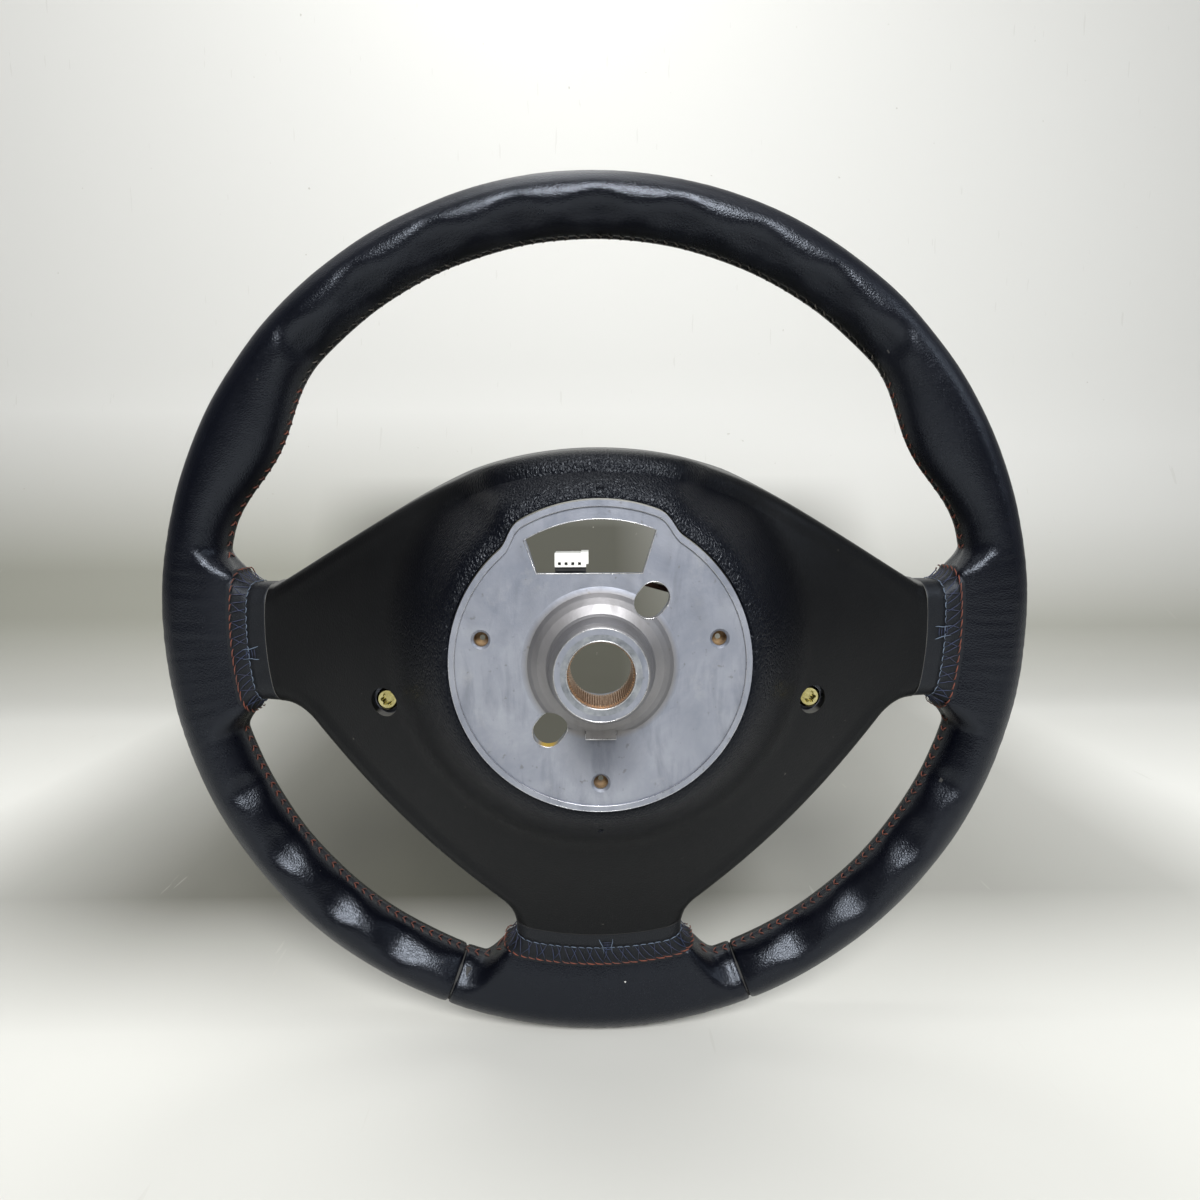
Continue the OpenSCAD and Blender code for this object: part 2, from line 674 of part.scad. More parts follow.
function root_point(lo, hi, r, grow, j) = let (f = root_flare(min(r, rim_in)))
    round_rect(lo - f, hi + f, -root_front, rear_z(r - plate_r), grow, j);
function flap_point(lo, hi, r0, grow, u, j) = let (
    c = root_point(lo, hi, mix(r0, rim_in, u), grow, j),
    r = mix(r0, rim_side(c[1]), u))
    [sqrt(r * r - c[0] * c[0]), c[0], c[1]];
flap_n = len(root_steps) - 1;
root_gap = 0.35;
function flap_rows(lo, hi, r0) = concat(
    [for (i = [0:flap_n]) [for (j = [0:root_m - 1])
        flap_point(lo, hi, r0, -flap_t, root_steps[i], j)]],
    [for (i = [flap_n:-1:0]) [for (j = [0:root_m - 1]) flap_point(lo, hi, r0, 0, root_steps[i], j)]]);

// The foam core of a root, from radius r0 to r1: under the flap it takes the flap's own shape, up
// to radius r1 - 1 where the rim's section is in the way
module root_core(lo, hi, r0, r1, grow) {
    function reach(j) = (r1 - 1 - r0) / (rim_side(root_point(lo, hi, rim_in, grow, j)[1]) - r0);
    function end_point(j) = let (c = root_point(lo, hi, mix(r0, rim_in, min(1, reach(j))), grow, j))
        [sqrt(r1 * r1 - c[0] * c[0]), c[0], c[1]];
    skin_grid(concat([[for (j = [0:root_m - 1]) end_point(j)]],
        [for (i = [flap_n:-1:0]) [for (j = [0:root_m - 1])
            flap_point(lo, hi, r0, grow, min(root_steps[i], reach(j)), j)]]), false);
}

core_in = 4.4;
module root_cores(r1, grow) {
    root_core(-spoke_low, spoke_up, flap_r + 0.1, r1, grow);
    rotate([0, 0, 180]) root_core(-spoke_up, spoke_low, flap_r + 0.1, r1, grow);
    rotate([0, 0, -90]) root_core(-spoke_half, spoke_half, low_flap_r + 0.1, r1, grow);
}

module root_flap(lo, hi, r0, turn) {
    color([0.08, 0.08, 0.085]) upright() rotate([0, 0, turn]) skin_grid(flap_rows(lo, hi, r0), true);
}

module root_flap_right() { root_flap(-spoke_low, spoke_up, flap_r, 0); }
module root_flap_left() { root_flap(-spoke_up, spoke_low, flap_r, 180); }
module root_flap_lower() { root_flap(-spoke_half, spoke_half, low_flap_r, -90); }

// Captive airbag screws

clip_gap = screw_travel + 0.2;
clip_z = seat_z - screw_boss_l - clip_gap;
module screw_sleeve(s) {
    color([0.75, 0.72, 0.6]) upright() translate([s * screw_x, -screw_y, seat_z - screw_boss_l]) difference() {
        cylinder(r = sleeve_r + sleeve_t, h = screw_boss_l, $fn = 64);
        translate([0, 0, -1]) cylinder(r = sleeve_r, h = screw_boss_l + 2, $fn = 64);
    }
}

module screw_sleeve_left() { screw_sleeve(-1); }
module screw_sleeve_right() { screw_sleeve(1); }

groove_depth = 0.6;
module airbag_screw(s) {
    color([0.78, 0.68, 0.32]) upright() translate([s * screw_x, -screw_y, 0]) difference() {
        union() {
            translate([0, 0, seat_z + 0.1]) cylinder(d = head_d, h = head_h - 1.1, $fn = 64);
            translate([0, 0, head_top - 1]) cylinder(d1 = head_d, d2 = head_d - 2, h = 1, $fn = 64);
            translate([0, 0, seat_z - shank_l + 1]) cylinder(d = shank_d, h = shank_l, $fn = 64);
            translate([0, 0, seat_z - shank_l]) cylinder(d1 = shank_d - 2, d2 = shank_d, h = 1, $fn = 64);
        }
        star_recess(head_top);
        translate([0, 0, clip_z - clip_t - 0.1]) difference() {
            cylinder(r = shank_d, h = clip_t + 0.2, $fn = 64);
            translate([0, 0, -1]) cylinder(r = shank_d / 2 - groove_depth, h = clip_t + 3, $fn = 64);
        }
    }
}

// Six-lobed drive recess
recess_r = 2.7;
module star_recess(z) {
    translate([0, 0, z - 2.6]) {
        cylinder(r = recess_r * 0.78, h = 4, $fn = 48);
        for (a = [0:60:300]) rotate(a) translate([recess_r * 0.72, 0, 0]) cylinder(r = recess_r * 0.26, h = 4, $fn = 24);
    }
}

module airbag_screw_left() { airbag_screw(-1); }
module airbag_screw_right() { airbag_screw(1); }

// Snap ring in the screw's groove: an open ring with two ears
module screw_clip(s) {
    color([0.35, 0.36, 0.38]) upright() translate([s * screw_x, -screw_y, clip_z - clip_t]) difference() {
        cylinder(r = shank_d / 2 + 2, h = clip_t, $fn = 64);
        translate([0, 0, -1]) cylinder(r = shank_d / 2 - groove_depth + 0.06, h = clip_t + 2, $fn = 64);
        translate([-1.2, -shank_d, -1]) cube([2.4, shank_d - 1.5, clip_t + 2]);
    }
}

module screw_clip_left() { screw_clip(-1); }
module screw_clip_right() { screw_clip(1); }

// Horn contacts: a sprung pin in an insulating socket, one on each side arm

socket_wall = 1.8;
socket_floor = 2;
neck_d = socket_d - 4;
neck_h = 4;
tail_d = 3.4;
tail_gap = 0.1;
collar_d = 5;
collar_t = 1;
module contact_socket(s) {
    color([0.9, 0.88, 0.8]) upright() translate([s * horn_x, -horn_y, horn_z]) difference() {
        union() {
            translate([0, 0, -socket_h]) cylinder(d = socket_d, h = socket_h, $fn = 64);
            cylinder(d = neck_d - 0.1, h = neck_h, $fn = 64);
        }
        translate([0, 0, -socket_h - 1])
            cylinder(d = socket_d - 2 * socket_wall, h = socket_h - socket_floor + 1, $fn = 64);
        translate([0, 0, -socket_h]) cylinder(d = tail_d + 2 * slide_fit, h = 40, $fn = 48);
        cylinder(d = collar_d + 1, h = 40, $fn = 48);
    }
}

module contact_socket_left() { contact_socket(-1); }
module contact_socket_right() { contact_socket(1); }

flange_t = 1.4;
flange_z = -socket_h + 3;
pin_out = 7;
module contact_pin(s) {
    color([0.8, 0.66, 0.35]) upright() translate([s * horn_x, -horn_y, horn_z]) {
        translate([0, 0, flange_z]) cylinder(d = socket_d - 2 * socket_wall - 0.5, h = flange_t, $fn = 64);
        translate([0, 0, flange_z - pin_out]) cylinder(d = pin_d, h = pin_out, $fn = 48);
        translate([0, 0, flange_z - pin_out - 1]) cylinder(d1 = pin_d - 2, d2 = pin_d, h = 1, $fn = 48);
        translate([0, 0, flange_z]) cylinder(d = tail_d, h = tail_gap + collar_t - flange_z, $fn = 48);
        translate([0, 0, tail_gap]) cylinder(d = collar_d, h = collar_t, $fn = 48);
    }
}

module contact_pin_left() { contact_pin(-1); }
module contact_pin_right() { contact_pin(1); }

// Compression spring between the pin's flange and the socket's floor, as a stack of turns
spring_turns = 4;
module contact_spring(s) {
    spring_low = flange_z + flange_t + spring_wire / 2;
    spring_high = -socket_floor - spring_wire / 2;
    color([0.7, 0.7, 0.72]) upright() translate([s * horn_x, -horn_y, horn_z]) for (i = [0:spring_turns])
        translate([0, 0, mix(spring_low, spring_high, i / spring_turns)])
            rotate_extrude($fn = 64) translate([(spring_d - spring_wire) / 2, 0]) circle(d = spring_wire, $fn = 16);
}

module contact_spring_left() { contact_spring(-1); }
module contact_spring_right() { contact_spring(1); }

// Wiring

plug_rear = plate_z - plate_t + 3.4;
module connector_housing() {
    color([0.93, 0.93, 0.9]) upright() translate([-plug_x, plug_y, plug_rear - plug_l]) difference() {
        union() {
            translate([-plug_w / 2, -plug_t / 2, 0]) cube([plug_w, plug_t, plug_l]);
            translate([plug_w / 2 - 1.6, -plug_t / 2 + 1, 1]) cube([2.4, plug_t - 0.6, plug_l - 1.4]);
        }
        for (i = [0:3]) translate([(i - 1.5) * plug_pitch - 0.3, -1.2, 2])
            translate([-0.5, -0.5, 0]) cube([1, 1, plug_l]);
    }
}

module connector_contacts() {
    color([0.8, 0.75, 0.6]) upright() translate([-plug_x, plug_y, plug_rear - plug_l]) for (i = [0:3])
        translate([(i - 1.5) * plug_pitch - 0.3, -1.2, 2]) translate([-0.4, -0.4, 0]) cube([0.8, 0.8, plug_l - 4]);
}

// A tube of m sides swept along points in the wheel's frame
function unit(v) = v / norm(v);
function tangent(p, i) = unit(p[min(i + 1, len(p) - 1)] - p[max(i - 1, 0)]);
function tube_row(c, t, d, m) = let (
    side = unit(cross(t, abs(t[2]) > 0.9 ? [1, 0, 0] : [0, 0, 1])), up = cross(side, t))
    [for (j = [0:m - 1]) c + d / 2 * (cos(360 * j / m) * side + sin(360 * j / m) * up)];
module tube(p, d, m) {
    skin_grid([for (i = [0:len(p) - 1]) tube_row(p[i], tangent(p, i), d, m)], false);
}

// The connector's holder: a tray under the housing with a hook over the window's lower edge
holder_t = 1.3;
module connector_holder() {
    low = plug_y - plug_t / 2 - holder_t;
    color([0.05, 0.05, 0.05]) upright() translate([-plug_x - plug_w / 2, 0, 0]) {
        translate([0, low, plug_rear - plug_l]) cube([plug_w, holder_t - 0.05, plug_l - 1]);
        translate([0, window_low - 6, plate_z - plate_t - 1.6])
            cube([plug_w, low + holder_t - 0.05 - window_low + 6, 1.5]);
        translate([0, low, plate_z - plate_t - 1.6]) cube([plug_w, holder_t - 0.05, 1.5]);
    }
}

lead_z = plug_rear - plug_l;
split = [-plug_x, plug_y - 6, lead_z - 16];
module main_lead() {
    color([0.05, 0.05, 0.05]) upright() tube([[-plug_x, plug_y, lead_z - 0.1], [-plug_x, plug_y, lead_z - 3],
        [-plug_x, plug_y - 1.6, lead_z - 7], [-plug_x, plug_y - 3.8, lead_z - 11.5], split], lead_d, 10);
}

clip_x = 66;
clip_y = 9.5;
peg_z = 50;
peg_d = 2.9;
function lead_path(s) = concat(
    s < 0
        ? [[split[0] - 1.3, split[1] - 0.2, split[2] - 0.3], [-12.5, 27.6, split[2] - 3],
            [-18, 25.8, 53], [-30, 21, 52.6], [-46, 13.5, 52.5]]
        : [[split[0] + 1.3, split[1] - 0.2, split[2] - 0.3], [-7, 27.6, split[2] - 3],
            [0, 26.2, 53], [14, 25, 52.8], [30, 20.5, 52.6], [46, 13.5, 52.5]],
    [[s * 58, clip_y + 0.5, 50.5], [s * (clip_x - 4), clip_y, peg_z], [s * (clip_x + 4), clip_y, peg_z],
        [s * 77, clip_y + 0.5, 43], [s * (horn_x - 1.5), clip_y + 0.5, 33], [s * horn_x, clip_y, 27.5],
        [s * horn_x, clip_y - 1.2, horn_z - 5], [s * horn_x, socket_d / 2 - horn_y + 0.15, horn_z - 5.6]]);

module horn_lead(s) {
    color([0.35, 0.16, 0.1]) upright() tube(lead_path(s), wire_d, 8);
}

module horn_lead_left() { horn_lead(-1); }
module horn_lead_right() { horn_lead(1); }

// Each clip is a loop round a lead on a peg pushed into the arm's upper rib
module lead_clips() {
    color([0.12, 0.12, 0.12]) upright() for (s = [-1, 1]) translate([s * clip_x, 0, peg_z]) {
        translate([0, clip_y, 0]) rotate([0, 90, 0]) difference() {
            cylinder(d = wire_d + 3, h = 5, center = true, $fn = 48);
            cylinder(d = wire_d + 0.3, h = 8, center = true, $fn = 48);
        }
        translate([0, clip_y - wire_d / 2 - 0.3, 0]) rotate([90, 0, 0])
            cylinder(d = peg_d, h = clip_y - wire_d / 2 - 3.6, $fn = 32);
    }
}

armature();
armature_boss();
armature_arms();
armature_ring();
spline_bush();
hub_cover();
rim_foam();
rim_leather();
rim_leather_lower();
root_flap_left();
root_flap_right();
root_flap_lower();
screw_sleeve_left();
screw_sleeve_right();
airbag_screw_left();
airbag_screw_right();
screw_clip_left();
screw_clip_right();
contact_socket_left();
contact_socket_right();
contact_spring_left();
contact_spring_right();
contact_pin_left();
contact_pin_right();
connector_housing();
connector_contacts();
connector_holder();
main_lead();
horn_lead_left();
horn_lead_right();
lead_clips();
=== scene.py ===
import math
import random

import bmesh
import bpy
from mathutils import Matrix, Vector, noise


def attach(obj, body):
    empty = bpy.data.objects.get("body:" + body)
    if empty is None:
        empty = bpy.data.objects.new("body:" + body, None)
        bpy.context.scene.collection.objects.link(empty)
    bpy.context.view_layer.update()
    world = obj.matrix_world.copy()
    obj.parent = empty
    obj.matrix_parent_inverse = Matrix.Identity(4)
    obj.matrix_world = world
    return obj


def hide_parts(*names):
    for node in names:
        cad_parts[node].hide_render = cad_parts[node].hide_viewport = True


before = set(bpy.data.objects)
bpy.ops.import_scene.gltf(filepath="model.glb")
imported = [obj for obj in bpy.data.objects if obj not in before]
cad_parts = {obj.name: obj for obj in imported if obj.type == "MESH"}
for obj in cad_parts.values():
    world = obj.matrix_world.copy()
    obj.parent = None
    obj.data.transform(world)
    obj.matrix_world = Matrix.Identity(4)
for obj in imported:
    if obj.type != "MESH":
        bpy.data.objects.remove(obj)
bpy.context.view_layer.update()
rng = random.Random(11)

# The wheel's own frame in millimetres: x right and y up as seen from the column side, z towards
# the column, z = 0 in the middle plane of the rim.
PLATE_Z = 86.4
BOSS_Z = 101.9
RIM_HALF_WIDTH = 12.7
RIM_HALF_DEPTH = 14.0
RIM_R = 177.3
RIM_INNER_R = RIM_R - RIM_HALF_WIDTH
PLATE_R = 50.5
LOBE_R = 54.6
LOBE_TURN = 93.8
LOBE_HALF = 25
LOBE_BLEND = 12
SCREW_X = 83.9
SCREW_Y = -23.0
WELL_R = 5.8
HOLE_CIRCLE_R = 40.6
HOLE_TURNS = (12.6, 167.4, -90)
SLOT_CIRCLE_R = 27.6
SLOT_TURNS = (52.0, 232.0)


def place(p):
    """A point of the wheel's frame in the row frame."""
    return Vector((p[0] / 1000, (BOSS_Z - p[2]) / 1000, p[1] / 1000))


def clamp(u, lo=0.0, hi=1.0):
    return min(max(u, lo), hi)


def ease(u):
    """Falls smoothly from 1 to 0 while u goes from 0 to 1."""
    return 0.5 + 0.5 * math.cos(math.pi * clamp(u))


def mix(a, b, u):
    return a + (b - a) * u


def deg_cos(a):
    return math.cos(math.radians(a))


def deg_sin(a):
    return math.sin(math.radians(a))


def polar(r, a):
    return r * deg_cos(a), r * deg_sin(a)


def circle(x, y, r, n):
    turns = [2 * math.pi * k / n for k in range(n)]
    return [(x + r * math.cos(w), y + r * math.sin(w)) for w in turns]


# Mesh helpers

def new_object(name, data):
    ob = bpy.data.objects.new(name, data)
    bpy.context.scene.collection.objects.link(ob)
    return ob


def smooth_object(me):
    """An object of the mesh, with its faces turned outward and shaded smooth."""
    me.validate()
    bm = bmesh.new()
    bm.from_mesh(me)
    bmesh.ops.recalc_face_normals(bm, faces=bm.faces)
    bm.to_mesh(me)
    bm.free()
    me.shade_smooth()
    return new_object(me.name, me)


def grid_object(name, rows, closed=False, uvs=None):
    """A mesh over rows of points of the wheel's frame, each row a loop.

    Closed joins the last row to the first, and uvs gives the place on the texture for a row and point.
    """
    n, m = len(rows), len(rows[0])
    cells = [(i, j) for i in range(n if closed else n - 1) for j in range(m)]
    me = bpy.data.meshes.new(name)
    me.from_pydata([place(p) for r in rows for p in r], [],
                   [(i * m + j, i * m + (j + 1) % m, (i + 1) % n * m + (j + 1) % m, (i + 1) % n * m + j)
                    for i, j in cells])
    if uvs:
        layer = me.uv_layers.new(name="UVMap")
        corners = [c for i, j in cells for c in ((i, j), (i, j + 1), (i + 1, j + 1), (i + 1, j))]
        for k, (a, b) in enumerate(corners):
            layer.data[k].uv = uvs(a, b)
    return smooth_object(me)


# Threads have six sides and narrow to about a third at their ends
TUBE_SIDES = 6
TUBE_TIP = 0.35


def tubes_object(name, paths, radius):
    """Many round threads or wires in one mesh. Each path is a list of points of the wheel's frame."""
    sides = TUBE_SIDES
    verts, faces = [], []
    for path in paths:
        pts = [Vector(p) for p in path]
        base = len(verts)
        n = len(pts)
        for i, p in enumerate(pts):
            t = (pts[min(i + 1, n - 1)] - pts[max(i - 1, 0)]).normalized()
            ref = Vector((0, 0, 1)) if abs(t.z) < 0.9 else Vector((1, 0, 0))
            a = t.cross(ref).normalized()
            b = a.cross(t)
            r = radius * (TUBE_TIP if i in (0, n - 1) else 1.0)
            for k in range(sides):
                w = 2 * math.pi * k / sides
                verts.append(place(p + r * (math.cos(w) * a + math.sin(w) * b)))
        for i in range(n - 1):
            for k in range(sides):
                k2 = (k + 1) % sides
                faces.append((base + i * sides + k, base + i * sides + k2,
                              base + (i + 1) * sides + k2, base + (i + 1) * sides + k))
        faces.append(tuple(base + k for k in range(sides)))
        faces.append(tuple(base + (n - 1) * sides + k for k in reversed(range(sides))))
    me = bpy.data.meshes.new(name)
    me.from_pydata(verts, [], faces)
    return smooth_object(me)


# Materials

class Mat:
    """A small builder for node materials."""

    def __init__(self, name):
        self.m = bpy.data.materials.new(name)
        self.m.use_nodes = True
        self.t = self.m.node_tree
        self.b = self.t.nodes["Principled BSDF"]

    def node(self, kind):
        return self.t.nodes.new(kind)

    def link(self, a, b):
        self.t.links.new(a, b)

    def coords(self, scale=(1, 1, 1), uv=False):
        c = self.node("ShaderNodeTexCoord")
        mp = self.node("ShaderNodeMapping")
        mp.inputs["Scale"].default_value = scale
        self.link(c.outputs["UV" if uv else "Object"], mp.inputs["Vector"])
        return mp.outputs["Vector"]

    def noise(self, vec, scale, detail=4.0, rough=0.6, distort=0.0):
        n = self.node("ShaderNodeTexNoise")
        n.inputs["Scale"].default_value = scale
        n.inputs["Detail"].default_value = detail
        n.inputs["Roughness"].default_value = rough
        n.inputs["Distortion"].default_value = distort
        self.link(vec, n.inputs["Vector"])
        return n.outputs["Fac"]

    def voronoi(self, vec, scale):
        n = self.node("ShaderNodeTexVoronoi")
        n.feature = "DISTANCE_TO_EDGE"
        n.inputs["Scale"].default_value = scale
        self.link(vec, n.inputs["Vector"])
        return n.outputs["Distance"]

    def ramp(self, fac, stops):
        n = self.node("ShaderNodeValToRGB")
        while len(n.color_ramp.elements) < len(stops):
            n.color_ramp.elements.new(0.5)
        for e, (pos, col) in zip(n.color_ramp.elements, stops):
            e.position = pos
            e.color = (*col, 1)
        self.link(fac, n.inputs["Fac"])
        return n.outputs["Color"]

    def fade(self, fac, stops):
        """A ramp of plain levels."""
        return self.ramp(fac, [(pos, (level,) * 3) for pos, level in stops])

    def remap(self, fac, a, b, lo, hi):
        n = self.node("ShaderNodeMapRange")
        for i, v in enumerate((a, b, lo, hi)):
            n.inputs[i + 1].default_value = v
        self.link(fac, n.inputs[0])
        return n.outputs[0]

    def math(self, op, a, b):
        n = self.node("ShaderNodeMath")
        n.operation = op
        for k, v in enumerate((a, b)):
            if isinstance(v, (int, float)):
                n.inputs[k].default_value = v
            else:
                self.link(v, n.inputs[k])
        return n.outputs[0]

    def add(self, a, b):
        return self.math("ADD", a, b)

    def times(self, a, b):
        return self.math("MULTIPLY", a, b)

    def length(self, a, b):
        return self.math("SQRT", self.add(self.times(a, a), self.times(b, b)), 0.0)

    def split(self, vec):
        """The three parts of a vector."""
        n = self.node("ShaderNodeSeparateXYZ")
        self.link(vec, n.inputs[0])
        return n.outputs

    def blend(self, fac, a, b):
        n = self.node("ShaderNodeMix")
        n.data_type = "RGBA"
        self.link(fac, n.inputs[0])
        for k, v in ((6, a), (7, b)):
            if isinstance(v, tuple):
                n.inputs[k].default_value = (*v, 1)
            else:
                self.link(v, n.inputs[k])
        return n.outputs[2]

    def bump(self, height, strength, distance, after=None):
        n = self.node("ShaderNodeBump")
        n.inputs["Strength"].default_value = strength
        n.inputs["Distance"].default_value = distance
        self.link(height, n.inputs["Height"])
        if after is not None:
            self.link(after, n.inputs["Normal"])
        return n.outputs["Normal"]

    def finish(self, color, rough, normal, **values):
        """Joins colour, roughness and normal to the shader. The values are set on it directly."""
        self.link(color, self.b.inputs["Base Color"])
        if isinstance(rough, float):
            self.b.inputs["Roughness"].default_value = rough
        else:
            self.link(rough, self.b.inputs["Roughness"])
        self.link(normal, self.b.inputs["Normal"])
        for k, v in values.items():
            self.b.inputs[k.replace("_", " ")].default_value = v
        return self.m


def from_axis(m):
    """Distance from the wheel's axis in metres."""
    x, _, z = m.split(m.coords())
    return m.length(x, z)


def patchy(m, pattern, col_a, col_b):
    """One colour that goes over into another where the pattern is strong."""
    return m.blend(m.remap(pattern, 0.35, 0.65, 0.0, 1.0), col_a, col_b)


def leather_material(name, base, worn, rough_lo, rough_hi, outer=None):
    """Smooth hide. Outer is the pair of radii in metres between which the worn, duller outer band begins."""
    m = Mat(name)
    obj = m.coords()
    pores = m.voronoi(obj, 860.0)
    fine = m.noise(obj, 1500.0, 4.0, 0.65)
    folds = m.noise(m.coords((0.3, 3.0, 1.0), uv=True), 26.0, 5.0, 0.62, 0.8)
    wrinkles = m.noise(obj, 520.0, 4.0, 0.7, 1.6)
    wide = m.noise(obj, 26.0, 4.0, 0.6)
    lint = m.noise(obj, 330.0, 2.0, 0.5)
    grain = m.add(m.remap(pores, 0.0, 0.3, 0.0, 0.7), m.times(fine, 0.7))
    grain = m.add(grain, m.times(wrinkles, 1.6))
    n1 = m.bump(folds, 0.24, 0.0006)
    n2 = m.bump(grain, 0.3, 0.0002, n1)
    color = m.blend(m.remap(wide, 0.35, 0.7, 0.0, 1.0), base, worn)
    color = m.blend(m.remap(lint, 0.76, 0.8, 0.0, 0.25), color, (0.16, 0.155, 0.14))
    rough = m.remap(m.add(m.times(wide, 0.7), m.times(fine, 0.3)), 0.3, 0.7, rough_lo, rough_hi)
    if outer:
        band = m.remap(from_axis(m), outer[0], outer[1], 0.0, 1.0)
        rough = m.add(rough, m.times(band, 0.14))
        color = m.blend(m.times(band, 0.7), color, tuple(1.5 * c for c in worn))
    return m.finish(color, rough, n2, Specular_IOR_Level=0.38, Specular_Tint=(0.78, 0.86, 1.0, 1))


def skin_material():
    """Moulded skin: grained and glossy on the shoulder round the plate, duller on the spokes. Away from the
    shoulder, faces that look upwards are lighter: a painted sheen.
    """
    m = Mat("cover_skin")
    obj = m.coords()
    stretched = m.coords((1.0, 1.0, 0.6))
    cells = m.voronoi(stretched, 900.0)
    creases = m.noise(stretched, 620.0, 4.0, 0.62, 1.4)
    fine = m.noise(obj, 2400.0, 3.0, 0.6)
    wide = m.noise(obj, 18.0, 4.0, 0.55)
    dust = m.noise(obj, 420.0, 2.0, 0.5)
    # 1 on the shoulder and 0 on the spokes
    near = m.remap(from_axis(m), 0.066, 0.082, 1.0, 0.0)
    grain = m.add(m.remap(cells, 0.0, 0.3, 0.0, 0.6), m.times(creases, 1.5))
    grain = m.times(grain, m.remap(near, 0.0, 1.0, 0.22, 1.0))
    n1 = m.bump(grain, 0.6, 0.0004)
    n2 = m.bump(fine, 0.22, 0.00007, n1)
    color = m.blend(m.remap(wide, 0.35, 0.7, 0.0, 1.0), (0.0014, 0.0013, 0.0014), (0.0030, 0.0029, 0.0029))
    color = m.blend(near, color, (0.0012, 0.0016, 0.0036))
    color = m.blend(m.remap(dust, 0.77, 0.81, 0.0, 0.3), color, (0.2, 0.19, 0.17))
    # Painted sheen: away from the shoulder, faces that look upwards get a light grey colour in place of the
    # light they catch from above.
    normal = m.split(m.node("ShaderNodeNewGeometry").outputs["Normal"])
    painted_top_sheen = m.times(m.remap(normal[2], 0.72, 0.9, 0.0, 0.8), m.remap(near, 0.0, 1.0, 1.0, 0.0))
    color = m.blend(painted_top_sheen, color, (0.13, 0.13, 0.125))
    rough = m.remap(wide, 0.3, 0.7, 0.45, 0.56)
    rough = m.math("SUBTRACT", rough, m.times(near, 0.2))
    return m.finish(color, rough, n2, Specular_IOR_Level=0.22, Specular_Tint=(0.84, 0.9, 1.0, 1))


def cast_material():
    """Bare casting: smeared and dotted, warm on the dome, with a painted shadow under the boss, yellow at the
    lower slot.
    """
    m = Mat("cast_alloy")
    obj = m.coords()
    wide = m.noise(obj, 32.0, 5.0, 0.65, 0.5)
    mid = m.noise(obj, 110.0, 5.0, 0.7)
    fine = m.noise(obj, 1400.0, 3.0, 0.6)
    smear = m.noise(m.coords((3.0, 1.0, 0.8)), 45.0, 5.0, 0.6, 0.4)
    dots = m.noise(obj, 420.0, 2.0, 0.5)
    color = m.ramp(wide, [(0.3, (0.215, 0.235, 0.288)), (0.5, (0.28, 0.298, 0.352)),
                          (0.72, (0.36, 0.378, 0.43))])
    color = m.blend(m.remap(smear, 0.52, 0.75, 0.0, 0.6), color, (0.145, 0.158, 0.19))
    color = m.blend(m.remap(mid, 0.58, 0.75, 0.0, 0.35), color, (0.40, 0.41, 0.43))
    color = m.blend(m.remap(dots, 0.68, 0.76, 0.0, 0.5), color, (0.13, 0.125, 0.12))
    x, y, z = m.split(obj)
    # Painted shadow: a soft dark patch round a point just below the boss's tab, where the boss shades the
    # plate.
    painted_shadow_distance = m.length(x, m.add(z, 0.0275))
    color = m.blend(m.remap(painted_shadow_distance, 0.004, 0.018, 0.6, 0.0), color, (0.05, 0.055, 0.072))
    reach = from_axis(m)
    dome = m.times(m.remap(reach, 0.0243, 0.0262, 1.0, 0.0), m.remap(reach, 0.0148, 0.0152, 0.0, 1.0))
    color = m.blend(m.times(dome, 0.65), color, (0.20, 0.185, 0.17))
    from_slot = m.length(m.add(x, 0.0178), m.add(z, 0.0262))
    below_face = m.remap(y, 0.0156, 0.0159, 0.0, 1.0)
    paint = m.times(m.remap(from_slot, 0.0022, 0.0036, 1.0, 0.0), below_face)
    color = m.blend(paint, color, (0.58, 0.38, 0.03))
    rough = m.remap(smear, 0.3, 0.7, 0.4, 0.58)
    n1 = m.bump(mid, 0.16, 0.0006)
    n2 = m.bump(fine, 0.35, 0.00008, n1)
    return m.finish(color, rough, n2, Metallic=0.8)


def metal_material(name, col_a, col_b, rough, scale=300.0, metallic=1.0):
    m = Mat(name)
    obj = m.coords()
    mid = m.noise(obj, scale, 4.0, 0.6)
    fine = m.noise(obj, scale * 6, 3.0, 0.6)
    color = patchy(m, mid, col_a, col_b)
    r = m.remap(fine, 0.3, 0.7, rough - 0.08, rough + 0.1)
    return m.finish(color, r, m.bump(fine, 0.2, 0.00006), Metallic=metallic)


def plastic_material(name, col_a, col_b, rough, scale=200.0):
    m = Mat(name)
    obj = m.coords()
    mid = m.noise(obj, scale, 4.0, 0.6)
    fine = m.noise(obj, scale * 5, 3.0, 0.6)
    color = patchy(m, mid, col_a, col_b)
    r = m.remap(mid, 0.3, 0.7, rough - 0.06, rough + 0.08)
    return m.finish(color, r, m.bump(fine, 0.25, 0.00006))


def thread_material(name, col_a, col_b):
    m = Mat(name)
    obj = m.coords()
    mid = m.noise(obj, 160.0, 3.0, 0.6)
    fine = m.noise(obj, 3500.0, 3.0, 0.6)
    color = patchy(m, mid, col_a, col_b)
    return m.finish(color, 0.8, m.bump(fine, 0.5, 0.00008))


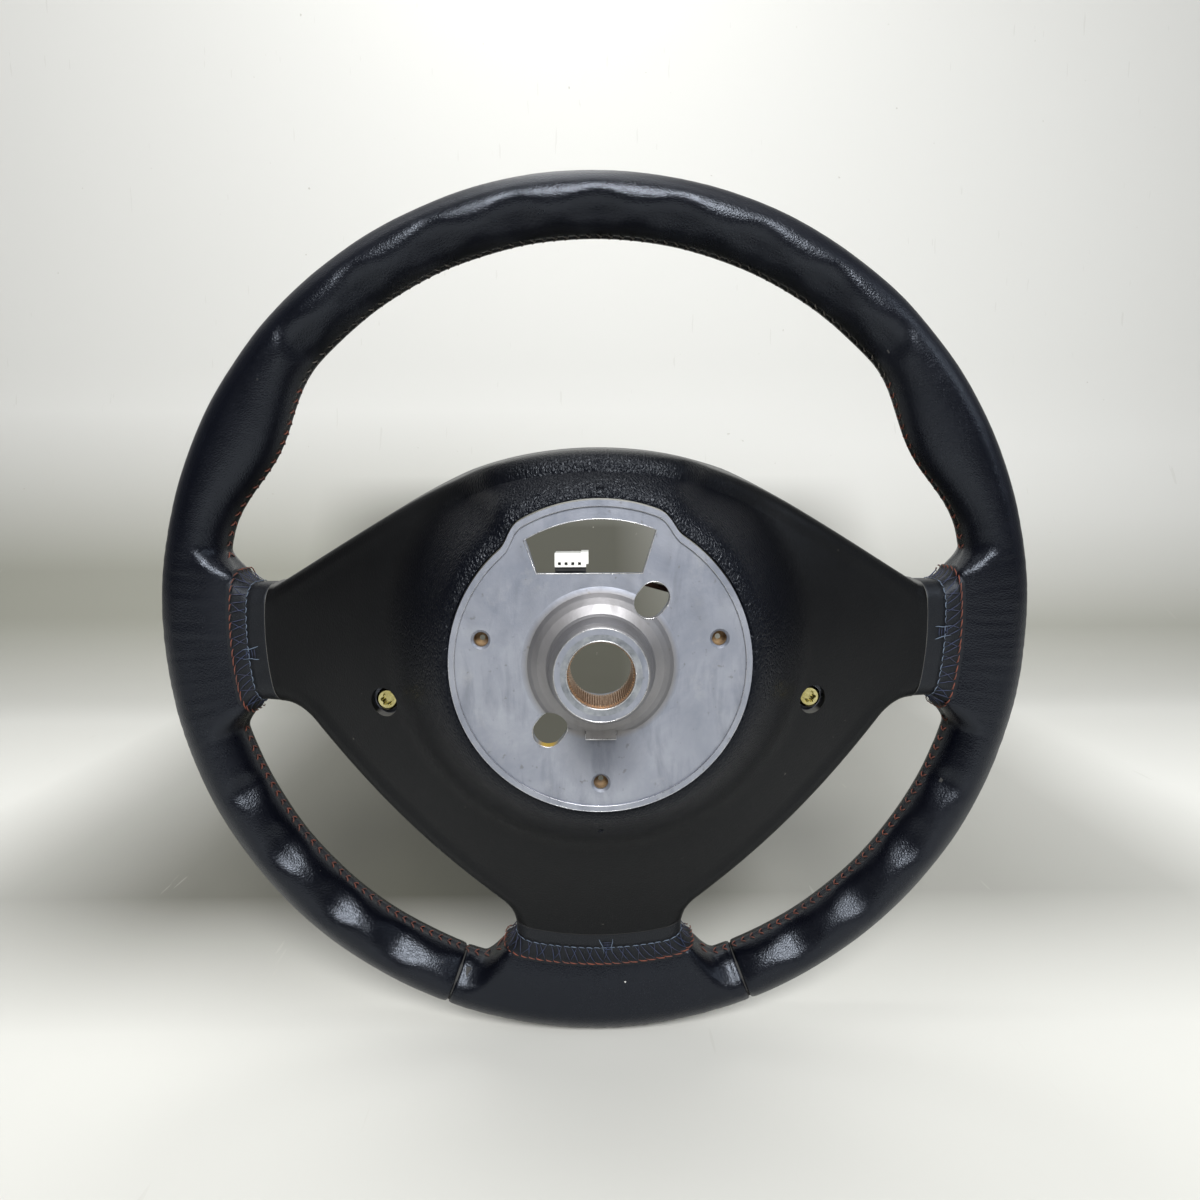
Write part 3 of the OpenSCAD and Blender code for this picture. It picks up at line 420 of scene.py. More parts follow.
def backdrop_material():
    """Pale backdrop with painted light and shade: a painted soft darker band where it curves into the wall, a
    painted shadow of the object, deepest behind it, and a painted tone that rises and falls along it.

    Along runs from the front of the floor to the top of the wall and across goes from left to right, both
    from 0 to 1.
    """
    m = Mat("painted_light_paper")
    across, along, _ = m.split(m.node("ShaderNodeTexCoord").outputs["UV"])
    fine = m.noise(m.coords(), 260.0, 4.0, 0.6)
    specks = m.noise(m.coords((1.0, 0.3, 1.0)), 95.0, 2.0, 0.5)
    lines = m.noise(m.coords((9.0, 0.7, 1.0)), 14.0, 2.0, 0.5)
    # Painted shade: a darker band where the backdrop curves into the wall, at a slightly different height and
    # deeper on the left than on the right.
    left = m.fade(along, [(0.0, 0), (0.42, 0), (0.495, 0.74), (0.52, 0.74), (0.59, 0)])
    right = m.fade(along, [(0.0, 0), (0.425, 0), (0.465, 0.4), (0.489, 0.62), (0.515, 0.36), (0.545, 0.12),
                           (0.575, 0)])
    band = m.blend(m.remap(across, 0.44, 0.6, 0.0, 1.0), left, right)
    # Painted shadow of the object on the backdrop: shade gives its reach along and the next ramp its reach
    # across, deepest behind the hub.
    shade = m.fade(along, [(0.0, 0), (0.304, 0), (0.332, 1), (0.541, 1), (0.562, 0)])
    painted_shadow_across = m.fade(across, [(0.0, 0), (0.402, 0), (0.425, 0.56), (0.447, 0.9), (0.475, 1), (0.508, 1),
                            (0.525, 0.72), (0.55, 0.66), (0.574, 0.5), (0.6, 0)])
    # Painted light and shade: the backdrop's tone rises and falls along it in place of the lamps' falloff and
    # the object's shadow on the floor.
    painted_light_paper = m.ramp(along, [(0.28, (0.62, 0.62, 0.59)), (0.33, (0.74, 0.74, 0.71)),
                           (0.37, (0.78, 0.78, 0.75)), (0.41, (0.70, 0.70, 0.67)),
                           (0.44, (0.65, 0.65, 0.625)), (0.56, (0.765, 0.765, 0.745))])
    # The painted shade band goes in first, then the painted shadow.
    color = m.blend(band, painted_light_paper, (0.17, 0.17, 0.12))
    color = m.blend(m.times(shade, painted_shadow_across), color, (0.066, 0.065, 0.048))
    color = m.blend(m.remap(specks, 0.775, 0.8, 0.0, 0.55), color, (0.42, 0.40, 0.35))
    color = m.blend(m.remap(lines, 0.735, 0.75, 0.0, 0.2), color, (0.52, 0.51, 0.47))
    return m.finish(color, 0.6, m.bump(fine, 0.1, 0.0003))


def bush_material():
    """Bare steel on the end face, rust-coloured between the teeth."""
    m = Mat("bush_steel")
    obj = m.coords()
    wide = m.noise(obj, 160.0, 5.0, 0.65)
    fine = m.noise(obj, 1300.0, 3.0, 0.6)
    face = patchy(m, wide, (0.15, 0.165, 0.19), (0.36, 0.38, 0.41))
    rust = patchy(m, fine, (0.46, 0.30, 0.18), (0.26, 0.16, 0.10))
    color = m.blend(m.remap(from_axis(m), 0.01075, 0.01095, 0.0, 1.0), rust, face)
    return m.finish(color, m.remap(fine, 0.3, 0.7, 0.34, 0.52), m.bump(fine, 0.3, 0.00008), Metallic=0.85)


M_RIM = leather_material("rim_hide", (0.0010, 0.0013, 0.0032), (0.0024, 0.0027, 0.0052), 0.21, 0.32,
                         (0.180, 0.186))
M_FLAP = leather_material("flap_hide", (0.0030, 0.0032, 0.0042), (0.0055, 0.0058, 0.0070), 0.42, 0.58)
M_SKIN = skin_material()
M_CAST = cast_material()
M_BUSH = bush_material()
M_SCREW = metal_material("screw_zinc", (0.50, 0.46, 0.24), (0.34, 0.30, 0.12), 0.2, 180.0)
M_STEEL = metal_material("sleeve_steel", (0.50, 0.49, 0.46), (0.36, 0.35, 0.33), 0.38)
M_CLIP = metal_material("clip_steel", (0.16, 0.16, 0.17), (0.09, 0.09, 0.10), 0.45)
M_SPRING = metal_material("spring_steel", (0.5, 0.5, 0.52), (0.4, 0.4, 0.42), 0.3)
M_BRASS = metal_material("pin_brass", (0.66, 0.50, 0.24), (0.52, 0.38, 0.18), 0.32)
M_EDGE = metal_material("bright_edge", (0.62, 0.62, 0.63), (0.40, 0.40, 0.42), 0.3)
M_PLUG = plastic_material("plug_plastic", (0.78, 0.79, 0.77), (0.70, 0.71, 0.68), 0.4)
M_SOCKET = plastic_material("socket_plastic", (0.62, 0.60, 0.50), (0.56, 0.54, 0.46), 0.5)
M_BLACK = plastic_material("clip_plastic", (0.018, 0.018, 0.019), (0.028, 0.028, 0.03), 0.45)
M_SLEEVE = plastic_material("lead_sleeve", (0.014, 0.014, 0.015), (0.022, 0.022, 0.024), 0.5)
M_BROWN = plastic_material("lead_brown", (0.14, 0.06, 0.03), (0.10, 0.045, 0.025), 0.45)
M_FOAM = plastic_material("foam", (0.03, 0.03, 0.03), (0.045, 0.045, 0.045), 0.85)
M_BEIGE = thread_material("thread_beige", (0.055, 0.05, 0.045), (0.09, 0.08, 0.07))
M_RED = thread_material("thread_red", (0.19, 0.048, 0.026), (0.08, 0.032, 0.025))
M_BLUE = thread_material("thread_blue", (0.02, 0.032, 0.08), (0.028, 0.03, 0.058))
M_PALE = thread_material("thread_pale", (0.12, 0.16, 0.22), (0.06, 0.08, 0.12))
M_PART = plastic_material("parting_edge", (0.085, 0.085, 0.08), (0.05, 0.05, 0.05), 0.5)
M_GOLD = metal_material("hole_lining", (0.27, 0.18, 0.09), (0.15, 0.10, 0.06), 0.78, 300.0, 0.2)
M_LINT = plastic_material("lint", (0.72, 0.72, 0.70), (0.6, 0.6, 0.58), 0.8)
M_DARK = plastic_material("seam_dark", (0.004, 0.004, 0.005), (0.007, 0.007, 0.008), 0.8)

CAD_MATERIALS = {
    "armature": M_CAST, "armature_boss": M_CAST, "armature_arms": M_CAST, "armature_ring": M_CAST,
    "spline_bush": M_BUSH, "rim_foam": M_FOAM,
    "screw_sleeve_left": M_STEEL, "screw_sleeve_right": M_STEEL,
    "airbag_screw_left": M_SCREW, "airbag_screw_right": M_SCREW,
    "screw_clip_left": M_CLIP, "screw_clip_right": M_CLIP,
    "contact_socket_left": M_SOCKET, "contact_socket_right": M_SOCKET,
    "contact_spring_left": M_SPRING, "contact_spring_right": M_SPRING,
    "contact_pin_left": M_BRASS, "contact_pin_right": M_BRASS,
    "connector_housing": M_PLUG, "connector_contacts": M_BLACK, "connector_holder": M_BLACK,
    "main_lead": M_SLEEVE, "horn_lead_left": M_BROWN, "horn_lead_right": M_BROWN,
    "lead_clips": M_BLACK,
}
for node_name, material in CAD_MATERIALS.items():
    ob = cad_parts[node_name]
    if ob.material_slots:
        for s in ob.material_slots:
            s.material = material
    else:
        ob.data.materials.append(material)


def dress(ob, material):
    """Gives a piece its material and slot, and ties it to the wheel."""
    ob.data.materials.clear()
    ob.data.materials.append(material)
    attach(ob, "wheel")


# Rim

GRIP_PITCH = 11.5
GRIP_DEPTH = 2.5
THUMB_DEPTH = 8.0
THUMB_TURNS = (29, 151)
THUMB_HALF = 15


def grip_wave(off, first):
    return 0.5 - 0.5 * deg_cos(360 * (off - first) / GRIP_PITCH)


def grip(t):
    """Depth of the finger grips at t, from 0 on a ridge to 1 in a hollow."""
    top = abs(t - 90)
    low = abs(t - 270)
    return (grip_wave(top, 5.5) * ease((top - 46) / 4)
            + grip_wave(low, 26.5) * ease((low - 65) / 4) * (1 - ease((low - 18) / 3)))


def thumb(t):
    """Height of the thumb rests at t, from 0 to 1."""
    return ease(min(abs(t - middle) for middle in THUMB_TURNS) / THUMB_HALF)


# Each spoke root: its middle's angle, its half width as an angle, and where the rim's collar begins
ROOTS = ((-2.05, 9.9, 155.4), (182.05, 9.9, 155.4), (270.0, 14.9, 151.4))


def turn(a, b):
    """The angle from b to a, between -180 and 180."""
    return (a - b + 180) % 360 - 180


def root_blend(t):
    """How far the rim has gone over into a root's collar at t, and that collar's radius."""
    return max((ease((abs(turn(t, c)) - half) / 4.4), r) for c, half, r in ROOTS)


def scoop(t, v):
    """Depth of the finger grips at section angle v. Their edge is a crest that waves along the rim."""
    q = GRIP_DEPTH * grip(t) - 0.075 * (math.hypot(v - 126, 18) - 18)
    return 0.5 * (q + math.hypot(q, 0.8))


def rim_point(t, v):
    """A point of the leather: t goes round the wheel and v round the section, both in degrees."""
    t = t % 360
    cv, sv = deg_cos(v), deg_sin(v)
    groove = scoop(t, v % 360)
    swell = THUMB_DEPTH * thumb(t) * max(0.0, -cv)
    a, b = RIM_HALF_WIDTH - groove, RIM_HALF_DEPTH - groove
    x, z = a * cv, b * sv
    blend, collar_r = root_blend(t)
    if cv < 0 and blend > 0:
        reach = RIM_R - collar_r
        bx = -reach * abs(cv) ** 0.45
        front = 0.32 if sv < 0 else 0.03
        bz = b * math.copysign(abs(sv) ** 0.28, sv) * (1 - front * (bx / reach) ** 2)
        x, z = mix(x, bx, blend), mix(z, bz, blend)
    r = RIM_R + x - swell
    return r * deg_cos(t), r * deg_sin(t), z


def rim_detail(t, v, p):
    """Small unevenness of the hand-stretched leather, as a shift along the section's normal."""
    q = Vector(p) * 0.035
    soft = noise.noise(q) * 0.28
    along = t * math.pi / 180 * RIM_R
    near = max(ease((abs(turn(t, c)) - half - 2) / 10) for c, half, _ in ROOTS)
    wrinkle = noise.noise(Vector((along * 0.42, v * 0.018, 3.0))) * 0.16 * (0.25 + 0.75 * near)
    seam = -0.75 * math.exp(-((v - 180) / 4.0) ** 2)
    return soft + wrinkle + seam


SECTION = 72
LEATHER_GIRTH = 0.084
END_RUN = 1.2
END_GAP = 0.02

# A leather piece's end at a cross seam: places along the run, and the section's size at each
END_ROWS = ((0.0, 0.86), (0.02, 0.93), (0.12, 0.975), (0.4, 0.994))


def rim_row(t):
    row = []
    for j in range(SECTION):
        v = 360 * j / SECTION
        p = rim_point(t, v)
        d = rim_detail(t, v, p)
        nx, nz = deg_cos(v), deg_sin(v)
        row.append((p[0] + d * nx * deg_cos(t), p[1] + d * nx * deg_sin(t), p[2] + d * nz))
    return row


def end_row(t, end, size):
    """The row at t, drawn together towards the middle of the section at the piece's end."""
    c = (RIM_R * deg_cos(end), RIM_R * deg_sin(end), 0.0)
    return [tuple(c[i] + (p[i] - c[i]) * size for i in range(3)) for p in rim_row(t)]


def rim_piece(name, t0, t1, n):
    """One leather piece, with its ends turned in where it meets the other at a cross seam."""
    head = [end_row(t0 - END_GAP + END_RUN * u, t0, size) for u, size in END_ROWS]
    tail = [end_row(t1 + END_GAP - END_RUN * u, t1, size) for u, size in reversed(END_ROWS)]
    rows = head + [rim_row(mix(t0, t1, i / n)) for i in range(2, n - 1)] + tail
    full = 2 * math.pi * RIM_R / 1000

    def uv(i, j):
        return (full * mix(t0, t1, i / len(rows)) / 360, LEATHER_GIRTH * j / SECTION)
    return grid_object(name, rows, uvs=uv)


# The lower leather piece lies between these angles, with a small gap at each cross seam
LOW_A = 248.0
LOW_B = 292.0
CROSS_GAP = 0.12
main_rim = rim_piece("rim_leather_main", LOW_B - 360 + CROSS_GAP, LOW_A - CROSS_GAP, 760)
low_rim = rim_piece("rim_leather_lower_piece", LOW_A + CROSS_GAP, LOW_B - CROSS_GAP, 110)
dress(main_rim, M_RIM)
dress(low_rim, M_RIM)
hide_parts("rim_leather")
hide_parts("rim_leather_lower")

STITCH_PITCH = 4.6
STITCH_RUN = 0.75


def seam_paths(t_from, t_to):
    """Slanting stitches that cross the joint on the rim's inner side, left out at the spoke roots."""
    paths = []
    n = int((t_to - t_from) / 360 * 2 * math.pi * RIM_INNER_R / STITCH_PITCH)
    for i in range(n):
        t = mix(t_from, t_to, (i + 0.5) / n) + rng.uniform(-0.05, 0.05)
        if root_blend(t)[0] > 0.45:
            continue
        for side in (-1, 1):
            pts = []
            wide = rng.uniform(7.5, 10.5)
            for u in (0.0, 0.35, 0.75, 1.0):
                at_t = t + STITCH_RUN * u
                p = Vector(rim_point(at_t, 180 + side * mix(0.5, wide, u)))
                c = Vector((RIM_R * deg_cos(at_t), RIM_R * deg_sin(at_t), 0))
                out = (p - c).normalized()
                pts.append(p + out * (0.28 if 0.1 < u < 0.9 else -0.25))
            paths.append(pts)
    return paths


top_threads = tubes_object("seam_thread_top", seam_paths(40, 140), 0.28)
side_threads = tubes_object("seam_thread_sides", seam_paths(140, 255) + seam_paths(285, 400), 0.23)
dress(top_threads, M_BEIGE)
dress(side_threads, M_RED)

# Hub cover

EDGE_R = 8.0
FRONT_EDGE_R = 5.0
FRONT_Z = -9.0
COVER_Z = PLATE_Z - 1.8
COVER_WALL = 5
ROOT_Z = 12.5
SHOULDER_H = 30.0
SHOULDER_W = 32.0
SPOKE_RUN = 108.0

# The outline of the cover: the arched top and half its sweep, the side spoke's upper and lower edge,
# half the lower spoke's width, the web between the two, and the radii at which the spokes end
TOP_R = 158.17
TOP_Y = 72.0
TOP_HALF = 28.34
SIDE_UP = 20.2
SIDE_LOW = 31.0
LOWER_HALF = 37.6
CORNER_R = 8.0
CORNER_X = 134.2
WEB_TURN = 46.4
WEB_R = 24.0
WEB_X = 125.6
SIDE_END_R = 141.0
LOWER_END_R = 137.0
END_PLAY = 0.15

# Half the width of the airbag bay, and how far it goes down
BAY_SIDE = 96
BAY_LOW = 112
FAR_AWAY = 1000


def rear_z(d):
    """Height of the cover's rear side at distance d from the plate's edge."""
    return ROOT_Z + (COVER_Z - ROOT_Z - SHOULDER_H) * ease(d / SPOKE_RUN) + SHOULDER_H * ease(d / SHOULDER_W)


def front_z(r):
    """Height of the cover's front edge at radius r."""
    return mix(2, FRONT_Z, 1 - ease((r - 70) / 70))


def plate_edge(a):
    """The plate's radius at angle a, larger in the lobe at the top."""
    off = abs(turn(a, LOBE_TURN))
    return PLATE_R + (LOBE_R - PLATE_R) * ease((off - LOBE_HALF) / LOBE_BLEND)


def end_side(r, across):
    """How far out a spoke's end lies, on a circle of radius r, at this distance across the spoke."""
    return math.sqrt((r - END_PLAY) ** 2 - across * across)


def outline():
    """The cover's right half, from the top to the lower foot: point, way inward, whether at a spoke's end."""
    pts = []

    def arc(c, r, a0, a1, n, sign):
        for i in range(n):
            ux, uy = polar(1, mix(a0, a1, i / n))
            pts.append(((c[0] + r * ux, c[1] + r * uy), (sign * ux, sign * uy), False))

    def line(p, q, n, inward):
        for i in range(n):
            pts.append(((mix(p[0], q[0], i / n), mix(p[1], q[1], i / n)), inward, False))
    top = (0, TOP_Y - TOP_R)
    top_x, top_y = polar(TOP_R, 90 - TOP_HALF)
    top_end = (top[0] + top_x, top[1] + top_y)
    fall = polar(1, -90 - TOP_HALF)
    corner = (CORNER_X + CORNER_R * deg_sin(TOP_HALF), SIDE_UP + CORNER_R)
    corner_start = (CORNER_X, SIDE_UP + CORNER_R * (1 - deg_cos(TOP_HALF)))
    web = polar(1, 90 + WEB_TURN)
    web_top = (WEB_X + WEB_R * math.tan(math.radians(WEB_TURN / 2)), -SIDE_LOW - WEB_R)
    web_start = (web_top[0] + WEB_R * web[0], web_top[1] + WEB_R * web[1])
    web_x = LOWER_HALF + WEB_R * (1 - deg_sin(WEB_TURN))
    web_end = (web_x, web_start[1] - (web_start[0] - web_x) * math.tan(math.radians(WEB_TURN)))
    web_low = (web_end[0] - WEB_R * web[0], web_end[1] - WEB_R * web[1])

    arc(top, TOP_R, 90, 90 - TOP_HALF, 26, -1)
    line(top_end, corner_start, 20, fall)
    arc(corner, CORNER_R, -90 - TOP_HALF, -90, 5, 1)
    pts.append(((end_side(SIDE_END_R, SIDE_UP), SIDE_UP), (0, -1), False))
    for i in range(15):
        y = mix(SIDE_UP - EDGE_R, EDGE_R - SIDE_LOW, i / 14)
        pts.append(((end_side(SIDE_END_R, y), y), (-1, 0), True))
    pts.append(((end_side(SIDE_END_R, SIDE_LOW), -SIDE_LOW), (0, 1), False))
    arc(web_top, WEB_R, 90, 90 + WEB_TURN, 10, 1)
    line(web_start, web_end, 34, web)
    arc(web_low, WEB_R, 90 + WEB_TURN, 180, 10, 1)
    pts.append(((LOWER_HALF, -end_side(LOWER_END_R, LOWER_HALF)), (-1, 0), False))
    for i in range(8):
        x = mix(LOWER_HALF - EDGE_R, 0, i / 8)
        pts.append(((x, -end_side(LOWER_END_R, x)), (0, 1), True))
    pts.append(((0.0, END_PLAY - LOWER_END_R), (0, 1), True))
    return pts


def bay_limit(a):
    """How far out the airbag bay goes at angle a."""
    c, s = abs(deg_cos(a)), deg_sin(a)
    return min(BAY_SIDE / c if c > 0.01 else FAR_AWAY, BAY_LOW / -s if s < -0.01 else FAR_AWAY)


def cover_loop(p, n, at_end):
    """A section through the cover at outline point p: plate edge, rear side, outer edge, bay."""
    a = math.degrees(math.atan2(p[1], p[0]))
    plate_r = plate_edge(a) + 0.6
    q = polar(plate_r, a)
    rho = 0.4 if at_end else EDGE_R
    e = (p[0] + rho * n[0], p[1] + rho * n[1])
    ze = rear_z(math.hypot(*e) - plate_r)
    fall = 0.4 if at_end else min(EDGE_R, 0.45 * (ze - FRONT_Z))
    zf = front_z(math.hypot(*p))
    tall = (ze - zf) / (COVER_Z - 30)
    lean = 0 if at_end else 4.5 * clamp((tall - 0.35) / 0.65)
    front = 0.4 if at_end else FRONT_EDGE_R
    b = polar(max(min(math.hypot(*p) - 10, bay_limit(a)), plate_r + 4), a)

    def ray(t, u):
        return mix(q[0], t[0], u), mix(q[1], t[1], u)
    loop = [(*q, COVER_Z - 2.2), (*q, COVER_Z - 0.5)]
    for u in [0.012 + 0.988 * (k / 26) ** 1.35 for k in range(27)]:
        x = ray(e, u)
        loop.append((*x, rear_z(math.hypot(*x) - plate_r)))
    for w in (15, 30, 45, 60, 75):
        k = rho * (1 - deg_sin(w))
        loop.append((p[0] + k * n[0], p[1] + k * n[1], ze - fall * (1 - deg_cos(w))))
    loop.append((*p, ze - fall))
    for u in (0.25, 0.5, 0.75, 1.0):
        k = lean * u
        loop.append((p[0] - k * n[0], p[1] - k * n[1], mix(ze - fall, zf + front, 0.8 * u)))
    for w in (90, 67, 45, 22, 0):
        k = lean - front * (1 - deg_sin(w))
        loop.append((p[0] - k * n[0], p[1] - k * n[1], zf + front * (1 - deg_cos(w))))
    loop += [(*b, zf + 0.5), (*b, zf + 2)]
    for u in [1 - k / 12 for k in range(13)]:
        x = ray(b, u)
        z = rear_z(math.hypot(*x) - plate_r) - COVER_WALL
        loop.append((*x, min(COVER_Z - COVER_WALL, z)))
    return loop


half_out = outline()
stations = half_out + [((-p[0], p[1]), (-n[0], n[1]), e) for p, n, e in reversed(half_out[1:-1])]
cover = grid_object("cover_skin_form", [cover_loop(*s) for s in stations], closed=True)


def drum(x, y, z0, z1, r):
    """An upright round body, to cut with."""
    n = 48
    bm = bmesh.new()
    low, high = [[bm.verts.new(place((px, py, z))) for px, py in circle(x, y, r, n)] for z in (z0, z1)]
    for k in range(n):
        k2 = (k + 1) % n
        bm.faces.new((low[k], low[k2], high[k2], high[k]))
    bm.faces.new(low[::-1])
    bm.faces.new(high)
    bmesh.ops.recalc_face_normals(bm, faces=bm.faces)
    me = bpy.data.meshes.new("drum")
    bm.to_mesh(me)
    bm.free()
    return new_object("drum", me)


def cut(ob, cutter):
    """Takes the cutter out of the object and removes the cutter."""
    mod = ob.modifiers.new("cut", "BOOLEAN")
    mod.operation = "DIFFERENCE"
    mod.solver = "EXACT"
    mod.object = cutter
    dep = bpy.context.evaluated_depsgraph_get()
    me = bpy.data.meshes.new_from_object(ob.evaluated_get(dep))
    ob.modifiers.clear()
    ob.data = me
    bpy.data.objects.remove(cutter)


for side in (-1, 1):
    cut(cover, drum(side * SCREW_X, SCREW_Y, -3, 90, WELL_R))
cover.data.shade_smooth()
mod = cover.modifiers.new("edges", "EDGE_SPLIT")
mod.split_angle = math.radians(38)
dress(cover, M_SKIN)
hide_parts("hub_cover")

# Small moulded pips on the shoulder, four over the window and one under the plate, and their profile
PIPS = ((0, 68.3), (-20.8, 55.7), (0, 58), (21.5, 54.9), (0, -61.5))
PIP_PROFILE = ((1.5, -0.6), (1.35, 0.15), (1.0, 0.3), (0.6, 0.1), (0.05, 0.05))
for k, (x, y) in enumerate(PIPS):
    z = rear_z(math.hypot(x, y) - plate_edge(math.degrees(math.atan2(y, x))) - 0.3)
    rows = [[(px, py, z + h) for px, py in circle(x, y, r, 16)] for r, h in PIP_PROFILE]
    dress(grid_object(f"cover_pip_{k}", rows), M_SKIN)

# Spoke roots

FLARE_R = 11
FLARE_RUN = 9.9
ROUND_STEPS = 8
COARSE = 84
FINE = 480


def flare(r, start):
    """How much a root has widened at radius r, on an arc that begins at start."""
    u = clamp(r - start, 0, FLARE_RUN)
    return FLARE_R - math.sqrt(FLARE_R ** 2 - u * u)


def root_section(f, r, grow, count):
    """A rounded rectangle round the spoke at radius r, in the lateral and axial directions."""
    wide = flare(r, f["start"])
    x0, x1, z0, z1 = f["lo"] - wide, f["hi"] + wide, FRONT_Z, rear_z(r - PLATE_R)
    corners = ((x1 - EDGE_R, z1 - EDGE_R, EDGE_R, 0),
               (x0 + EDGE_R, z1 - EDGE_R, EDGE_R, 90),
               (x0 + FRONT_EDGE_R, z0 + FRONT_EDGE_R, FRONT_EDGE_R, 180),
               (x1 - FRONT_EDGE_R, z0 + FRONT_EDGE_R, FRONT_EDGE_R, 270))
    pts = []
    for cx, cz, rad, first in corners:
        for k in range(ROUND_STEPS + 1):
            w = first + 90 * k / ROUND_STEPS
            pts.append((cx + (rad + grow) * deg_cos(w), cz + (rad + grow) * deg_sin(w)))
    total = [0.0]
    for p, q in zip(pts, pts[1:] + pts[:1]):
        total.append(total[-1] + math.hypot(q[0] - p[0], q[1] - p[1]))
    out = []
    for k in range(count):
        s = total[-1] * k / count
        i = max(j for j in range(len(pts)) if total[j] <= s + 1e-9)
        u = (s - total[i]) / max(1e-9, total[i + 1] - total[i])
        p, q = pts[i], pts[(i + 1) % len(pts)]
        out.append((mix(p[0], q[0], u), mix(p[1], q[1], u)))
    return out


def turned(r, y, z, angle):
    """A point at radius r and y to the side of the spoke that points to the angle."""
    x = math.sqrt(max(1.0, r * r - y * y))
    c, s = deg_cos(angle), deg_sin(angle)
    return x * c - y * s, x * s + y * c, z


# The leather flaps round the roots: the spoke's two edges, the way it points, the flap's first and last
# radius, where it begins to widen, and the radii of its seam at the rim and of its own seam
SIDE_FLAP = {"r0": SIDE_END_R, "r1": 158.6, "start": 147.4, "rim": 156.2, "seam": 149.6}
LOWER_FLAP = {"r0": LOWER_END_R, "r1": 154.6, "start": 143.4, "rim": 152.3, "seam": 144.6}
FLAPS = (
    {"key": "right", "lo": -SIDE_LOW, "hi": SIDE_UP, "turn": 0.0, **SIDE_FLAP},
    {"key": "left", "lo": -SIDE_UP, "hi": SIDE_LOW, "turn": 180.0, **SIDE_FLAP},
    {"key": "lower", "lo": -LOWER_HALF, "hi": LOWER_HALF, "turn": -90.0, **LOWER_FLAP},
)
THREADS = {"red": [], "blue": [], "pale": [], "parting": [], "groove": []}
FLAP_LIP = ((0.9, -2.5), (0.15, -1.2), (0.0, -0.5), (0.15, -0.12), (0.6, 0.0))
FLAP_ROWS = 26
ROOT_TALL = 21
LACE_PITCH = 3.5
KNOT_ARM = 2.1
KNOT_BARS = 4


def root_flap(f):
    """The flap's leather: its edge turned in at the cover, its dented seam, a little unevenness."""
    angle = f["turn"]
    rows = []
    for ahead, grow in FLAP_LIP:
        r = f["r0"] + ahead
        rows.append([turned(r, y, z, angle) for y, z in root_section(f, r, grow, COARSE)])
    for i in range(1, FLAP_ROWS + 1):
        r = mix(f["r0"] + 0.6, f["r1"], i / FLAP_ROWS)
        dent = -0.5 * math.exp(-((r - f["seam"]) / 1.1) ** 2)
        row = []
        for y, z in root_section(f, r, dent, COARSE):
            d = noise.noise(Vector((r * 0.16, y * 0.22, z * 0.2 + angle))) * 0.22
            row.append(turned(r, y, z + (d if z > 0 else -d), angle))
        rows.append(row)
    return grid_object(f"root_flap_{f['key']}_leather", rows,
                       uvs=lambda i, j: (0.016 * i / 30, 0.16 * j / COARSE))


def lace(f):
    """The two seams of the root, laced across with thread, its knot, and the edge at the parting line."""
    cache = {}
    rim_r, seam_r = f["rim"], f["seam"]
    wide = f["hi"] - f["lo"]
    around = 2 * (wide + ROOT_TALL)
    count = int(around / LACE_PITCH)
    step = 1 / count

    def at(r, w, grow):
        """The point a share w of the way round the root at radius r, lifted by grow."""
        key = (round(r, 2), round(grow, 2))
        if key not in cache:
            cache[key] = root_section(f, r, grow, FINE)
        y, z = cache[key][int(round(w * FINE)) % FINE]
        return turned(r, y, z, f["turn"])

    def between(u):
        return mix(rim_r, seam_r, u)

    for i in range(count):
        w = (i + rng.uniform(-0.12, 0.12)) / count
        THREADS["red"].append([at(rim_r + 0.5, w, 1.0),
                               at(rim_r + 0.1, w + 0.25 * step, 1.55),
                               at(rim_r - 0.1, w + 0.7 * step, 1.5),
                               at(rim_r - 0.4, w + 0.95 * step, 0.9)])
        lean = rng.uniform(0.5, 1.0) * step
        THREADS["blue"].append([at(rim_r - 0.2, w, 0.9),
                                at(between(0.3), w + 0.3 * lean, 0.75),
                                at(between(0.7), w + 0.7 * lean, 0.4),
                                at(seam_r, w + lean, -0.1)])
        if i % 2:
            THREADS["blue"].append([at(rim_r - 0.2, w + step, 0.9),
                                    at(between(0.5), w + 0.5 * step, 0.6),
                                    at(seam_r, w + 0.1 * step, -0.1)])
        THREADS["pale"].append([at(seam_r + 0.6, w + 0.1 * step, -0.2),
                                at(seam_r - 0.1, w + 0.35 * step, 0.25),
                                at(seam_r - 0.2, w + 0.75 * step, 0.2),
                                at(seam_r + 0.5, w + step, -0.2)])

    # Knot in the middle of the rear side, shaped like an H
    w0 = round(0.5 * (wide + 4.6) / around * FINE) / FINE
    arm = KNOT_ARM / around
    for side in (-arm, arm):
        THREADS["pale"].append([at(between(0.6), w0 + side, 0.5),
                                at(seam_r - 1, w0 + side, 0.45),
                                at(seam_r - 3.4, w0 + 1.25 * side, 0.35),
                                at(seam_r - 5.0, w0 + 1.5 * side, -0.2)])
    for k in range(KNOT_BARS):
        r = seam_r + 0.8 - 1.25 * k
        THREADS["blue"].append([at(r, w0 - 1.15 * arm, 0.3),
                                at(r - 0.25, w0, 0.65),
                                at(r + 0.1, w0 + 1.15 * arm, 0.3)])
    edge = [at(f["r0"] - 0.12, k / 120, 0.05) for k in range(122)]
    THREADS["groove" if f["key"] == "lower" else "parting"].append(edge)


for f in FLAPS:
    flap = root_flap(f)
    dress(flap, M_FLAP)
    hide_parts(f"root_flap_{f['key']}")
    lace(f)

THREAD_LOOKS = (
    ("red", "root_thread_red", 0.27, M_RED),
    ("blue", "root_thread_blue", 0.17, M_BLUE),
    ("pale", "root_thread_pale", 0.2, M_PALE),
    ("parting", "parting_edges", 0.15, M_PART),
    ("groove", "parting_groove", 0.3, M_DARK),
)
for key, name, radius, material in THREAD_LOOKS:
    dress(tubes_object(name, THREADS[key], radius), material)

